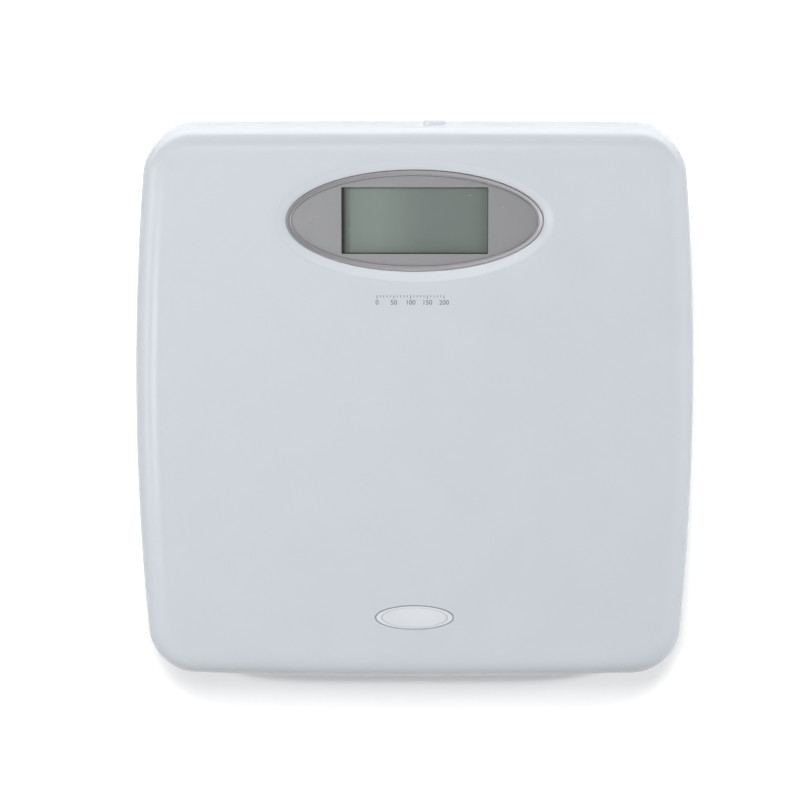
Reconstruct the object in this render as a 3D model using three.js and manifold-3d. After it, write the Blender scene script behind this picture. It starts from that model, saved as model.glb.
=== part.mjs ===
// Digital floor scale for weighing a person.
// Millimetres. +Z is up, +Y runs towards the display, and the floor is z = 0.
// The origin lies on the floor under the middle of the case.

import * as THREE from 'three';
import { mergeVertices } from 'three/addons/utils/BufferGeometryUtils.js';
import Module from 'manifold-3d';

const wasm = await Module();
wasm.setup();

// Case, seen from above: four bowed edges joined by round corners
const caseWidth = 330;
const caseLength = 329.6;
const caseHeight = 56;
const cornerRadius = 30;
const sideBow = 5.7;
const frontBow = 2.1;
const backBow = 0.45;

// Gaps and cuts
const restGap = 0.3;
const overrun = 1;

// Cover
const coverWall = 3;
const edgeRadius = 14;
const skirtDraft = 1;
const skirtBottom = 12;

// Steel deck under the cover
const deckThickness = 2;
const deckNotchMargin = 5;

// Tray
const trayBottom = 6;
const trayFloor = 2.5;
const trayWall = 2.5;
const trayWallTop = 17;
const trayEdgeRadius = 6;
const trayFit = 0.5;
const ribThickness = 2;
const ribHeight = 10;
const ribLength = 120;
const ribInset = 90;

// Feet
const footInset = 45;
const padRadius = 19;
const padHeight = 2.5;
const padChamfer = 0.6;
const cupRadius = 23.6;
const cupWall = 2.3;
const cupFloor = 2.5;
const cupRimDrop = 1.3;
const cupChamfer = 1;
const cupLip = 1.2;
const cupLipHeight = 1.5;
const mouthFit = 0.5;
const wellDepth = 2;
const wellRadius = 12.5;
const cellSize = 34;
const cellThickness = 2.5;
const cellCorner = 8;
const tongueWidth = 14;
const tongueSlot = 2;
const gaugeLength = 10;
const gaugeWidth = 4;
const gaugeHeight = 0.8;

// Foot towers of the tray
const pocketRadius = 25.5;
const pocketWall = 2.5;
const pocketHeadroom = 3.7;
const pocketRoof = 2.5;
const pinRadius = 4;
const towerRadius = 15;
const towerWall = 2.5;
const gussetThickness = 2;
const gussetHeight = 14;
const leadHoleReach = 18;
const leadHoleRadius = 2;

// Screws that hold the tray to the cover
const bossRadius = 4.5;
const trayBossRadius = 5;
const shankRadius = 1.8;
const shankLength = 22;
const headRadius = 3.5;
const headHeight = 2.6;
const headSeat = 16;
const headWell = 4.2;
const headEdgeShare = 0.8;
const recessLength = 3.8;
const recessWidth = 0.9;
const recessDepth = 1.4;
const bossMeeting = 24;
const pilotSpare = 2;
const deckHoleMargin = 1.5;
const sideScrewInset = 25;
const frontScrewInset = 26;
const frontScrewSpacing = 120;
const backScrewInset = 14.5;
const backScrewSpacing = 96;

// Display, from the platform down
const displayInset = 54.2;
const bezelLength = 148.9;
const bezelWidth = 58.8;
const dishWidth = 6;
const dishDepth = 1.5;
const bezelFit = 0.3;
const crestDrop = 0.3;
const ringWidth = 3;
const ringChamfer = 0.6;
const ringValleyDrop = 0.9;
const ringBeadWidth = 0.8;
const ringFlange = 3;
const ringFlangeThickness = 1.8;
const ringLedge = 1.2;
const ringLedgeThickness = 1.6;
const panelThickness = 1;
const lensThickness = 1.2;
const windowCornerMargin = 4.69;
const windowSideMargin = 9.9;
const glassLapLength = 3.4;
const glassLapWidth = 3;
const lowerGlass = 1.3;
const upperGlass = 1.4;
const glassStep = 2;
const glassFit = 0.3;
const frameWall = 5.7;
const frameSeatLength = 8;
const frameSeatWidth = 7.5;
const connectorInset = 4;
const connectorWidth = 2.5;
const connectorHeight = 5;
const boardThickness = 1.6;
const earLength = 18;
const earWidth = 10;
const earThickness = 3;
const earInset = 4;
const bossPastEnd = 12;
const bossPastSide = 1.5;
const displayBossRadius = 4;
const smallShankRadius = 1.3;
const smallShankLength = 9;
const smallHeadRadius = 2.8;
const smallHeadHeight = 1.8;
const smallRecessLength = 3;
const smallRecessWidth = 0.7;
const smallRecessDepth = 1;
const smallPilotSpare = 0.6;
const boardScrewLength = 6;
const processorSize = 12;
const processorHeight = 1.6;
const processorOffset = 22;
const buzzerRadius = 6;
const buzzerHeight = 4;
const buzzerOffset = 30;
const buzzerPort = 1;
const buzzerPortDepth = 0.8;
const socketLength = 26;
const socketWidth = 6;
const socketHeight = 6;
const socketOffset = 14;

// Badge in its shallow recess
const badgeLength = 46;
const badgeWidth = 14;
const badgeThickness = 0.6;
const badgeDrop = 0.1;
const badgeInset = 39.4;

// Battery bay, its cells and their contacts
const cellRadius = 7.25;
const cellLength = 50.5;
const cellCount = 4;
const cellSpacing = 15;
const cellBevel = 0.7;
const nubRadius = 2.75;
const nubLength = 1;
const bayWall = 2;
const bayEndSpace = 3.3;
const bayHeadroom = 1.5;
const contactThickness = 0.5;
const contactHeight = 11;
const contactMargin = 2;
const leafHeight = 8;
const leafWidth = 5;

// Battery door
const doorThickness = 2;
const doorSeat = 3;
const doorFit = 0.4;
const doorLedge = 2.5;
const tongueLength = 12;
const tongueReach = 2.5;
const tongueThickness = 1.4;
const tongueRoot = 1;
const tongueSpacing = 36;
const latchWidth = 14;
const latchThickness = 1.4;
const latchHeight = 4;
const noseReach = 1.2;
const noseHeight = 1.4;
const scoopDepth = 0.9;
const scoopRadius = 7;

// Unit button in the back of the skirt
const buttonX = 11.5;
const buttonHeight = 23;
const buttonLength = 13;
const buttonWidth = 8;
const buttonCorner = 2.5;
const buttonProud = 1.6;
const buttonFit = 0.3;
const buttonFlange = 1.5;
const buttonFlangeThickness = 1.2;
const buttonTravel = 1;
const stemRadius = 2.5;
const stemLength = 2.4;
const plungerRadius = 1.7;
const plungerLength = 2.8;
const plungerReach = 1.7;
const switchSize = 6;
const switchDepth = 3.5;
const switchBoardLength = 22;
const switchBoardHeight = 17;
const postLength = 5;
const postDepth = 5.4;
const postLap = 2;
const postHeight = 15;

// Leads
const leadRadius = 1.2;
const leadPitch = 4;
const leadClear = 3;
const leadBend = 4;
const bendShare = 0.45;
const frontSlot = 1.5;
const backSlot = 2.5;
const innerSlot = 0.5;

// Facets of round shapes
const cornerSteps = 5;
const sideSteps = 4;
const endSteps = 2;
const edgeSteps = 4;
const innerEdgeSteps = 3;
const trayEdgeSteps = 3;
const ellipseSteps = 40;
const badgeSteps = 24;
const footSides = 18;
const rodSides = 10;
const cellSides = 14;
const leadSides = 6;
const bendSteps = 3;
const arcSteps = 3;

// Levels above the floor
const ceiling = caseHeight - coverWall;
const shoulder = caseHeight - edgeRadius;
const deckTop = ceiling - restGap;
const deckBottom = deckTop - deckThickness;
const trayTop = trayBottom + trayFloor;
const cupBase = padHeight + restGap;
const cupFloorTop = cupBase + cupFloor;
const cupLedge = cupFloorTop + wellDepth;
const loadCellBase = cupLedge + restGap;
const loadCellTop = loadCellBase + cellThickness;
const lipBase = trayTop + restGap;
const lipTop = lipBase + cupLipHeight;
const pocketTop = lipTop + pocketHeadroom;
const towerBase = pocketTop + pocketRoof;
const towerTop = deckBottom - restGap;
const ringTop = caseHeight - crestDrop;
const flangeTop = ceiling - restGap;
const ringBottom = flangeTop - ringFlangeThickness;
const ringLedgeTop = ringBottom + ringLedgeThickness;
const panelBase = ringLedgeTop + restGap;
const panelTop = panelBase + panelThickness;
const lensBase = panelTop + restGap;
const lensTop = lensBase + lensThickness;
const glassTop = ringBottom - restGap;
const glassBase = glassTop - upperGlass - lowerGlass;
const connectorTop = glassBase - restGap;
const frameBase = connectorTop - connectorHeight;
const boardTop = frameBase - restGap;
const boardBase = boardTop - boardThickness;
const doorTop = trayBottom + doorThickness;
const doorSeatLevel = doorTop + restGap;
const cellAxis = doorTop + restGap + restGap + cellRadius;
const bayRoof = cellAxis + cellRadius + bayHeadroom;
const leadLevel = trayTop + restGap + leadRadius;

// Display sizes that follow one another from the bezel inwards
const panelLength = bezelLength - 2 * (ringWidth + bezelFit);
const panelWidth = bezelWidth - 2 * (ringWidth + bezelFit);
const windowWidth = bezelWidth - 2 * windowSideMargin;
const panelChord = panelLength * Math.sqrt(1 - (windowWidth / panelWidth) ** 2);
const windowLength = panelChord - 2 * windowCornerMargin;
const glassLength = windowLength + 2 * glassLapLength;
const glassWidth = windowWidth + 2 * glassLapWidth;
const pocketLength = glassLength + 2 * glassFit;
const pocketWidth = glassWidth + 2 * glassFit;
const frameLength = pocketLength + 2 * frameWall;
const frameWidth = pocketWidth + 2 * frameWall;
const displayBossX = frameLength / 2 + bossPastEnd;
const displayBossY = frameWidth / 2 + bossPastSide;

// Places seen from above
const displayY = caseLength / 2 - displayInset;
const badgeY = badgeInset - caseLength / 2;
const socketY = displayY + socketOffset;
const footX = caseWidth / 2 - footInset;
const footY = caseLength / 2 - footInset;
const footPlaces = [
  { side: 1, end: 1, label: 'back_right' },
  { side: -1, end: 1, label: 'back_left' },
  { side: -1, end: -1, label: 'front_left' },
  { side: 1, end: -1, label: 'front_right' },
];
const screwPlaces = [
  { x: caseWidth / 2 - sideScrewInset, y: 0 },
  { x: sideScrewInset - caseWidth / 2, y: 0 },
  { x: frontScrewSpacing / 2, y: frontScrewInset - caseLength / 2 },
  { x: -frontScrewSpacing / 2, y: frontScrewInset - caseLength / 2 },
  { x: backScrewSpacing / 2, y: caseLength / 2 - backScrewInset },
  { x: -backScrewSpacing / 2, y: caseLength / 2 - backScrewInset },
];
const displayBossPlaces = footPlaces.map(({ side, end }) => ({
  x: side * displayBossX,
  y: displayY + end * displayBossY,
}));

// Solids: a closed geometry becomes a solid that can be joined and cut

function solid(geometry) {
  const bare = geometry.clone();
  bare.deleteAttribute('normal');
  bare.deleteAttribute('uv');
  const merged = mergeVertices(bare);
  const corners = merged.index.array;
  const kept = [];
  for (let i = 0; i < corners.length; i += 3) {
    const [a, b, c] = corners.slice(i, i + 3);
    if (a !== b && b !== c && c !== a) {
      kept.push(a, b, c);
    }
  }
  return new wasm.Manifold(new wasm.Mesh({
    numProp: 3,
    vertProperties: Float32Array.from(merged.attributes.position.array),
    triVerts: Uint32Array.from(kept),
  }));
}

function joined(solids) {
  return solids.reduce((whole, next) => whole.add(next));
}

function cut(whole, tools) {
  return tools.reduce((left, tool) => left.subtract(tool), whole);
}

function block(x0, x1, y0, y1, z0, z1) {
  const box = new THREE.BoxGeometry(x1 - x0, y1 - y0, z1 - z0);
  return solid(box.translate((x0 + x1) / 2, (y0 + y1) / 2, (z0 + z1) / 2));
}

function centredBlock(length, width, x, y, z0, z1) {
  return block(x - length / 2, x + length / 2, y - width / 2, y + width / 2, z0, z1);
}

function rod(radius, z0, z1, x, y, sides = rodSides) {
  const cylinder = new THREE.CylinderGeometry(radius, radius, z1 - z0, sides);
  cylinder.rotateX(Math.PI / 2);
  return solid(cylinder.translate(x, y, (z0 + z1) / 2));
}

// A turned piece about the Z axis, from a profile of radius and height that starts and ends on it
function turned(profile, sides = rodSides) {
  const points = profile.map(([radius, height]) => new THREE.Vector2(radius, height));
  return solid(new THREE.LatheGeometry(points, sides).rotateX(Math.PI / 2));
}

function prism(shape, z0, z1) {
  const options = { depth: z1 - z0, bevelEnabled: false, curveSegments: arcSteps };
  return solid(new THREE.ExtrudeGeometry(shape, options).translate(0, 0, z0));
}

// A prism that runs along Y, with its shape seen from behind the scale
function backPrism(shape, y0, y1, x, z) {
  const options = { depth: y1 - y0, bevelEnabled: false, curveSegments: arcSteps };
  const geometry = new THREE.ExtrudeGeometry(shape, options).rotateX(-Math.PI / 2);
  return solid(geometry.translate(x, y0, z));
}

function backRod(radius, y0, y1, x, z) {
  const cylinder = new THREE.CylinderGeometry(radius, radius, y1 - y0, rodSides);
  return solid(cylinder.translate(x, (y0 + y1) / 2, z));
}

function roundedRectangle(length, width, radius) {
  const x = length / 2 - radius;
  const y = width / 2 - radius;
  const shape = new THREE.Shape();
  shape.absarc(x, y, radius, 0, Math.PI / 2);
  shape.absarc(-x, y, radius, Math.PI / 2, Math.PI);
  shape.absarc(-x, -y, radius, Math.PI, Math.PI * 3 / 2);
  shape.absarc(x, -y, radius, Math.PI * 3 / 2, Math.PI * 2);
  shape.closePath();
  return shape;
}

// Rings of equal count, counterclockwise seen from above and the lowest first, joined by a skin.
// An open loft is capped at both ends, and a hoop's last ring joins its first.
function loft(rings, hoop = false) {
  const count = rings[0].length;
  const levels = hoop ? rings.length : rings.length - 1;
  const index = [];
  for (let level = 0; level < levels; level += 1) {
    const low = level * count;
    const high = ((level + 1) % rings.length) * count;
    for (let i = 0; i < count; i += 1) {
      const next = (i + 1) % count;
      index.push(low + i, low + next, high + next);
      index.push(low + i, high + next, high + i);
    }
  }
  if (!hoop) {
    const last = (rings.length - 1) * count;
    for (const [a, b, c] of THREE.ShapeUtils.triangulateShape(rings[0], [])) {
      index.push(a, c, b);
      index.push(last + a, last + b, last + c);
    }
  }
  const geometry = new THREE.BufferGeometry().setFromPoints(rings.flat());
  geometry.setIndex(index);
  return solid(geometry);
}

// Outline of the case

function bowRadius(bow, halfChord) {
  return (halfChord ** 2 + bow ** 2) / (2 * bow);
}

// The centre of a corner whose round is tangent to the right side and to one bowed end
function cornerCentre(side, end) {
  const sideReach = side.radius - cornerRadius;
  const endReach = end.radius - cornerRadius;
  const apart = Math.hypot(side.centre, end.centre);
  const along = (sideReach ** 2 - endReach ** 2 + apart ** 2) / (2 * apart);
  const across = Math.sqrt(sideReach ** 2 - along ** 2);
  const towards = new THREE.Vector2(-side.centre, end.centre).divideScalar(apart);
  return new THREE.Vector2(
    side.centre + along * towards.x - across * towards.y,
    along * towards.y + across * towards.x,
  );
}

function arcPoints(centreX, centreY, radius, from, to, steps) {
  const points = [];
  for (let i = 0; i < steps; i += 1) {
    const angle = from + (to - from) * i / steps;
    const outward = new THREE.Vector2(Math.cos(angle), Math.sin(angle));
    points.push({ x: centreX + radius * outward.x, y: centreY + radius * outward.y, outward });
  }
  return points;
}

function bowedEdge(bow, halfLength, halfChord) {
  const radius = bowRadius(bow, halfChord);
  return { radius, centre: halfLength - radius };
}

function caseOutline() {
  const side = bowedEdge(sideBow, caseWidth / 2, caseLength / 2 - cornerRadius);
  const back = bowedEdge(backBow, caseLength / 2, caseWidth / 2 - cornerRadius);
  const front = bowedEdge(frontBow, caseLength / 2, caseWidth / 2 - cornerRadius);
  const backCorner = cornerCentre(side, back);
  const frontCorner = cornerCentre(side, front);
  const backSide = Math.atan2(backCorner.y, backCorner.x - side.centre);
  const backEnd = Math.atan2(backCorner.y - back.centre, backCorner.x);
  const frontSide = Math.atan2(frontCorner.y, frontCorner.x - side.centre);
  const frontEnd = Math.atan2(frontCorner.y - front.centre, frontCorner.x);
  const half = Math.PI;
  const full = Math.PI * 2;
  const corner = (x, y, from, to) => arcPoints(x, y, cornerRadius, from, to, cornerSteps);
  return [
    ...arcPoints(side.centre, 0, side.radius, -frontSide, backSide, sideSteps),
    ...corner(backCorner.x, backCorner.y, backSide, backEnd),
    ...arcPoints(0, back.centre, back.radius, backEnd, half - backEnd, endSteps),
    ...corner(-backCorner.x, backCorner.y, half - backEnd, half - backSide),
    ...arcPoints(-side.centre, 0, side.radius, half - backSide, half + frontSide, sideSteps),
    ...corner(-frontCorner.x, -frontCorner.y, half + frontSide, half + frontEnd),
    ...arcPoints(0, -front.centre, front.radius, half + frontEnd, full - frontEnd, endSteps),
    ...corner(frontCorner.x, -frontCorner.y, full - frontEnd, full - frontSide),
  ];
}

const outline = caseOutline();

// The case outline drawn in by an inset, at one height
function caseRing(inset, z) {
  return outline.map(({ x, y, outward }) => (
    new THREE.Vector3(x - outward.x * inset, y - outward.y * inset, z)
  ));
}

function ellipseRing(length, width, x, y, z, steps = ellipseSteps) {
  const ring = [];
  for (let i = 0; i < steps; i += 1) {
    const angle = Math.PI * 2 * i / steps;
    ring.push(new THREE.Vector3(
      x + length / 2 * Math.cos(angle),
      y + width / 2 * Math.sin(angle),
      z,
    ));
  }
  return ring;
}

// The bezel's outer ellipse grown by a margin on every side
function bezelRing(margin, z) {
  return ellipseRing(bezelLength + 2 * margin, bezelWidth + 2 * margin, 0, displayY, z);
}

// Rings up a rounded top edge, from its shoulder to its crown
function edgeRings(inset, radius, z, steps) {
  const rings = [];
  for (let i = 0; i <= steps; i += 1) {
    const angle = Math.PI / 2 * i / steps;
    rings.push(caseRing(inset + radius * (1 - Math.cos(angle)), z + radius * Math.sin(angle)));
  }
  return rings;
}

// Screws, with a cross recess in the head, which points down
function screw(head, headDepth, shank, length, recess) {
  const body = turned([
    [0, -headDepth],
    [head * headEdgeShare, -headDepth],
    [head, 0],
    [shank, 0],
    [shank, length - shank],
    [0, length],
  ]);
  const cross = [
    centredBlock(recess.length, recess.width, 0, 0, -headDepth - overrun, recess.depth - headDepth),
    centredBlock(recess.width, recess.length, 0, 0, -headDepth - overrun, recess.depth - headDepth),
  ];
  return cut(body, cross);
}

const caseRecess = { length: recessLength, width: recessWidth, depth: recessDepth };
const smallRecess = { length: smallRecessLength, width: smallRecessWidth, depth: smallRecessDepth };

// Cover: the moulded top that a person stands on

function coverShell() {
  const outer = loft([
    caseRing(0, skirtBottom),
    ...edgeRings(skirtDraft, edgeRadius, shoulder, edgeSteps),
  ]);
  const inner = loft([
    caseRing(coverWall, skirtBottom - overrun),
    ...edgeRings(skirtDraft + coverWall, edgeRadius - coverWall, shoulder, innerEdgeSteps),
  ]);
  return outer.subtract(inner);
}

// The hole for the bezel, with the shallow dish that leads down to it
function bezelCut() {
  return loft([
    bezelRing(bezelFit, ceiling - overrun),
    bezelRing(bezelFit, caseHeight - dishDepth),
    bezelRing(dishWidth, caseHeight),
    bezelRing(dishWidth, caseHeight + overrun),
  ]);
}

function badgeCut() {
  const length = badgeLength + 2 * restGap;
  const width = badgeWidth + 2 * restGap;
  const floor = caseHeight - badgeDrop - badgeThickness - restGap;
  return loft([
    ellipseRing(length, width, 0, badgeY, floor, badgeSteps),
    ellipseRing(length, width, 0, badgeY, caseHeight + overrun, badgeSteps),
  ]);
}

const backOuter = caseLength / 2;
const backInner = backOuter - skirtDraft - coverWall;

function buttonCut() {
  const shape = roundedRectangle(
    buttonLength + 2 * buttonFit,
    buttonWidth + 2 * buttonFit,
    buttonCorner + buttonFit,
  );
  return backPrism(shape, backInner - overrun, backOuter + overrun, buttonX, buttonHeight);
}

function platformCover() {
  const rootLevel = ceiling + coverWall / 2;
  const earTop = frameBase + earThickness;
  const smallPilot = smallShankRadius + restGap;
  const bosses = screwPlaces.map(({ x, y }) => rod(bossRadius, bossMeeting, rootLevel, x, y));
  const pilots = screwPlaces.map(({ x, y }) => rod(
    shankRadius + restGap,
    bossMeeting - overrun,
    headSeat + shankLength + pilotSpare,
    x,
    y,
  ));
  const displayBosses = displayBossPlaces.map(({ x, y }) => (
    rod(displayBossRadius, earTop + restGap, rootLevel, x, y)
  ));
  const displayPilots = displayBossPlaces.map(({ x, y }) => rod(
    smallPilot,
    earTop + restGap - overrun,
    boardTop + smallShankLength + smallPilotSpare,
    x,
    y,
  ));
  return cut(joined([coverShell(), ...bosses, ...displayBosses]), [
    ...pilots,
    ...displayPilots,
    bezelCut(),
    badgeCut(),
    buttonCut(),
  ]);
}

// Steel deck: stiffens the cover and rests on the foot towers, with a notch for the display

function steelDeck() {
  const inset = skirtDraft + edgeRadius;
  const plate = loft([caseRing(inset, deckBottom), caseRing(inset, deckTop)]);
  const notchHalf = bezelLength / 2 + ringFlange + deckNotchMargin;
  const notchFront = displayY - displayBossY - displayBossRadius - deckNotchMargin;
  const notch = block(
    -notchHalf,
    notchHalf,
    notchFront,
    caseLength / 2,
    deckBottom - overrun,
    deckTop + overrun,
  );
  const holes = screwPlaces.map(({ x, y }) => (
    rod(bossRadius + deckHoleMargin, deckBottom - overrun, deckTop + overrun, x, y)
  ));
  return cut(plate, [notch, ...holes]);
}

// Bezel: a plated ring whose flange lies under the cover, and whose ledge carries the panel

function bezel() {
  const bead = -ringWidth + ringBeadWidth;
  return loft([
    bezelRing(ringFlange, ringBottom),
    bezelRing(ringFlange, flangeTop),
    bezelRing(0, flangeTop),
    bezelRing(0, ringTop - ringChamfer),
    bezelRing(-ringChamfer, ringTop),
    bezelRing(-ringChamfer - ringBeadWidth, ringTop),
    bezelRing(bead, ringTop - ringValleyDrop),
    bezelRing(-ringWidth, ringTop - ringValleyDrop),
    bezelRing(-ringWidth, ringLedgeTop),
    bezelRing(-ringWidth - ringLedge, ringLedgeTop),
    bezelRing(-ringWidth - ringLedge, ringBottom),
  ], true);
}

function bezelPanel() {
  const plate = loft([
    bezelRing(-ringWidth - bezelFit, panelBase),
    bezelRing(-ringWidth - bezelFit, panelTop),
  ]);
  const low = panelBase - overrun;
  const high = panelTop + overrun;
  return plate.subtract(centredBlock(windowLength, windowWidth, 0, displayY, low, high));
}

function displayLens() {
  return loft([
    bezelRing(-ringWidth - bezelFit, lensBase),
    bezelRing(-ringWidth - bezelFit, lensTop),
  ]);
}

// Two glass plates, the upper one shorter so that the lower one's edges stay bare
function lcdModule() {
  const seam = glassBase + lowerGlass;
  return joined([
    centredBlock(glassLength, glassWidth, 0, displayY, glassBase, seam),
    centredBlock(glassLength, glassWidth - 2 * glassStep, 0, displayY, glassBase, glassTop),
  ]);
}

const frameOpeningLength = glassLength - 2 * frameSeatLength;
const frameOpeningWidth = glassWidth - 2 * frameSeatWidth;
const connectorLength = glassLength - 2 * connectorInset;
const connectorY = glassWidth / 2 - connectorWidth;
const boardScrewX = (pocketLength + frameWall) / 2;
const boardScrewY = glassWidth / 2 - frameWall;
const boardScrewPlaces = [
  { x: boardScrewX, y: displayY + boardScrewY },
  { x: -boardScrewX, y: displayY - boardScrewY },
];

// Frame that holds the glass over the board and hangs from the cover by four ears
function lcdFrame() {
  const ears = displayBossPlaces.map(({ x, y }) => (
    centredBlock(earLength, earWidth, x - Math.sign(x) * earInset, y, frameBase, frameBase + earThickness)
  ));
  const body = centredBlock(frameLength, frameWidth, 0, displayY, frameBase, glassTop);
  const low = frameBase - overrun;
  const slots = [-1, 1].map((side) => centredBlock(
    connectorLength + 2 * glassFit,
    connectorWidth + 2 * glassFit,
    0,
    displayY + side * connectorY,
    low,
    glassTop,
  ));
  const hole = smallShankRadius + restGap;
  const boardPilotEnd = boardBase + boardScrewLength + smallPilotSpare;
  return cut(joined([body, ...ears]), [
    centredBlock(pocketLength, pocketWidth, 0, displayY, glassBase - restGap, glassTop + overrun),
    centredBlock(frameOpeningLength, frameOpeningWidth, 0, displayY, low, glassTop),
    ...slots,
    ...displayBossPlaces.map(({ x, y }) => rod(hole, low, glassTop, x, y)),
    ...boardScrewPlaces.map(({ x, y }) => rod(hole, low, boardPilotEnd, x, y)),
  ]);
}

function lcdConnector(side) {
  const y = displayY + side * connectorY;
  return centredBlock(connectorLength, connectorWidth, 0, y, boardTop + restGap, connectorTop);
}

function mainBoard() {
  const plate = centredBlock(frameLength, frameWidth, 0, displayY, boardBase, boardTop);
  return cut(plate, boardScrewPlaces.map(({ x, y }) => (
    rod(smallShankRadius + restGap, boardBase - overrun, boardTop + overrun, x, y)
  )));
}

// Parts soldered under the board

function processor() {
  const top = boardBase - restGap;
  const x = -processorOffset;
  return centredBlock(processorSize, processorSize, x, displayY, top - processorHeight, top);
}

function buzzer() {
  const top = boardBase - restGap;
  const base = top - buzzerHeight;
  const can = rod(buzzerRadius, base, top, buzzerOffset, displayY);
  return can.subtract(rod(buzzerPort, base - overrun, base + buzzerPortDepth, buzzerOffset, displayY));
}

function leadSocket() {
  const top = boardBase - restGap;
  return centredBlock(socketLength, socketWidth, 0, socketY, top - socketHeight, top);
}

function badge() {
  const top = caseHeight - badgeDrop;
  return loft([
    ellipseRing(badgeLength, badgeWidth, 0, badgeY, top - badgeThickness, badgeSteps),
    ellipseRing(badgeLength, badgeWidth, 0, badgeY, top, badgeSteps),
  ]);
}

// Tray: the moulded bottom, with foot towers, screw bosses and the battery bay

const trayInset = coverWall + trayFit;
const bayLength = cellLength + 2 * bayEndSpace;
const bayWidth = cellCount * cellSpacing + 2 * restGap;
const doorLength = bayLength + 2 * doorSeat;
const doorWidth = bayWidth + 2 * doorSeat;
const rimLength = doorLength + 2 * (doorFit + bayWall);
const rimWidth = doorWidth + 2 * (doorFit + bayWall);
const bayLeadY = bayWidth / 2 - cellSpacing / 2;

function trayShell() {
  const outer = [];
  for (let i = 0; i <= trayEdgeSteps; i += 1) {
    const angle = Math.PI / 2 * i / trayEdgeSteps;
    const inset = trayInset + trayEdgeRadius * (1 - Math.sin(angle));
    outer.push(caseRing(inset, trayBottom + trayEdgeRadius * (1 - Math.cos(angle))));
  }
  outer.push(caseRing(trayInset, trayWallTop));
  const inner = loft([
    caseRing(trayInset + trayEdgeRadius, trayTop),
    caseRing(trayInset + trayWall, trayBottom + trayEdgeRadius),
    caseRing(trayInset + trayWall, trayWallTop + overrun),
  ]);
  return loft(outer).subtract(inner);
}

// A tower over one foot: a pocket for the foot's cup and a tube that carries the deck
function footTower(x, y) {
  const reach = pocketRadius + pocketWall;
  const gussetTop = towerBase + gussetHeight;
  return joined([
    rod(reach, trayBottom, towerBase, x, y, footSides),
    rod(towerRadius, towerBase - overrun, towerTop, x, y, footSides),
    block(x - reach, x + reach, y - gussetThickness / 2, y + gussetThickness / 2, trayTop, gussetTop),
    block(x - gussetThickness / 2, x + gussetThickness / 2, y - reach, y + reach, trayTop, gussetTop),
  ]);
}

function footTowerCuts(x, y, side, end) {
  const mouth = cupRadius + mouthFit;
  const leadX = x - side * leadHoleReach * Math.SQRT1_2;
  const leadY = y - end * leadHoleReach * Math.SQRT1_2;
  return [
    rod(mouth, trayBottom - overrun, pocketTop, x, y, footSides),
    rod(pocketRadius, trayTop, pocketTop, x, y, footSides),
    rod(towerRadius - towerWall, towerBase, towerTop + overrun, x, y, footSides),
    rod(leadHoleRadius, pocketTop - overrun, towerBase + overrun, leadX, leadY),
  ];
}

function footPin(x, y) {
  return rod(pinRadius, loadCellTop + restGap, pocketTop + overrun, x, y);
}

function screwWell(x, y) {
  return [
    rod(headWell, trayBottom - overrun, headSeat, x, y),
    rod(shankRadius + restGap, headSeat - overrun, bossMeeting + overrun, x, y),
  ];
}

// Slots over and behind the bay's hinge edge, in which the door's tongues turn
function tongueSlots() {
  const edge = -doorLength / 2;
  const inside = edge + doorSeat + overrun;
  return [-1, 1].flatMap((side) => {
    const middle = side * tongueSpacing / 2;
    const near = middle - tongueLength / 2 - doorFit;
    const far = middle + tongueLength / 2 + doorFit;
    const top = trayTop + doorLedge + tongueThickness;
    return [
      block(edge - tongueReach - tongueRoot, inside, near, far, trayTop, top),
      block(edge - doorFit, inside, near, far, doorTop, trayTop + overrun),
    ];
  });
}

// The notch at the latch, open below, that the door's nose passes through
function latchNotch() {
  const edge = doorLength / 2;
  const half = latchWidth / 2 + doorFit;
  return block(
    edge - doorSeat - overrun,
    edge + doorFit + noseReach + doorFit,
    -half,
    half,
    trayBottom - overrun,
    doorTop + latchHeight + overrun,
  );
}

function batteryBay() {
  return joined([
    centredBlock(rimLength, rimWidth, 0, 0, trayBottom, doorSeatLevel + doorLedge),
    centredBlock(bayLength + 2 * bayWall, bayWidth + 2 * bayWall, 0, 0, trayBottom, bayRoof + bayWall),
  ]);
}

function batteryBayCuts() {
  const low = trayBottom - overrun;
  return [
    centredBlock(doorLength + 2 * doorFit, doorWidth + 2 * doorFit, 0, 0, low, doorSeatLevel),
    centredBlock(bayLength, bayWidth, 0, 0, low, bayRoof),
    ...tongueSlots(),
    latchNotch(),
    rod(leadHoleRadius, bayRoof - overrun, bayRoof + bayWall + overrun, 0, bayLeadY),
  ];
}

const switchFront = backInner - restGap - buttonFlangeThickness - stemLength - restGap
  - plungerLength + plungerReach;
const switchBack = switchFront - switchDepth;
const switchBoardFront = switchBack - restGap;
const switchBoardBack = switchBoardFront - boardThickness;

// Two posts, grooved to hold the edges of the switch's upright board
function switchPosts() {
  const middle = (switchBoardFront + switchBoardBack) / 2;
  const reach = switchBoardLength / 2 - postLap + postLength / 2;
  const posts = [-1, 1].map((side) => centredBlock(
    postLength,
    postDepth,
    buttonX + side * reach,
    middle,
    trayTop - overrun,
    trayTop + postHeight,
  ));
  const groove = block(
    buttonX - switchBoardLength / 2 - restGap,
    buttonX + switchBoardLength / 2 + restGap,
    switchBoardBack - restGap,
    switchBoardFront + restGap,
    trayTop,
    trayTop + postHeight + overrun,
  );
  return joined(posts).subtract(groove);
}

function trayRibs() {
  return [-1, 1].map((side) => centredBlock(
    ribThickness,
    ribLength,
    side * (caseWidth / 2 - ribInset),
    0,
    trayTop - overrun,
    trayTop + ribHeight,
  ));
}

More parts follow.
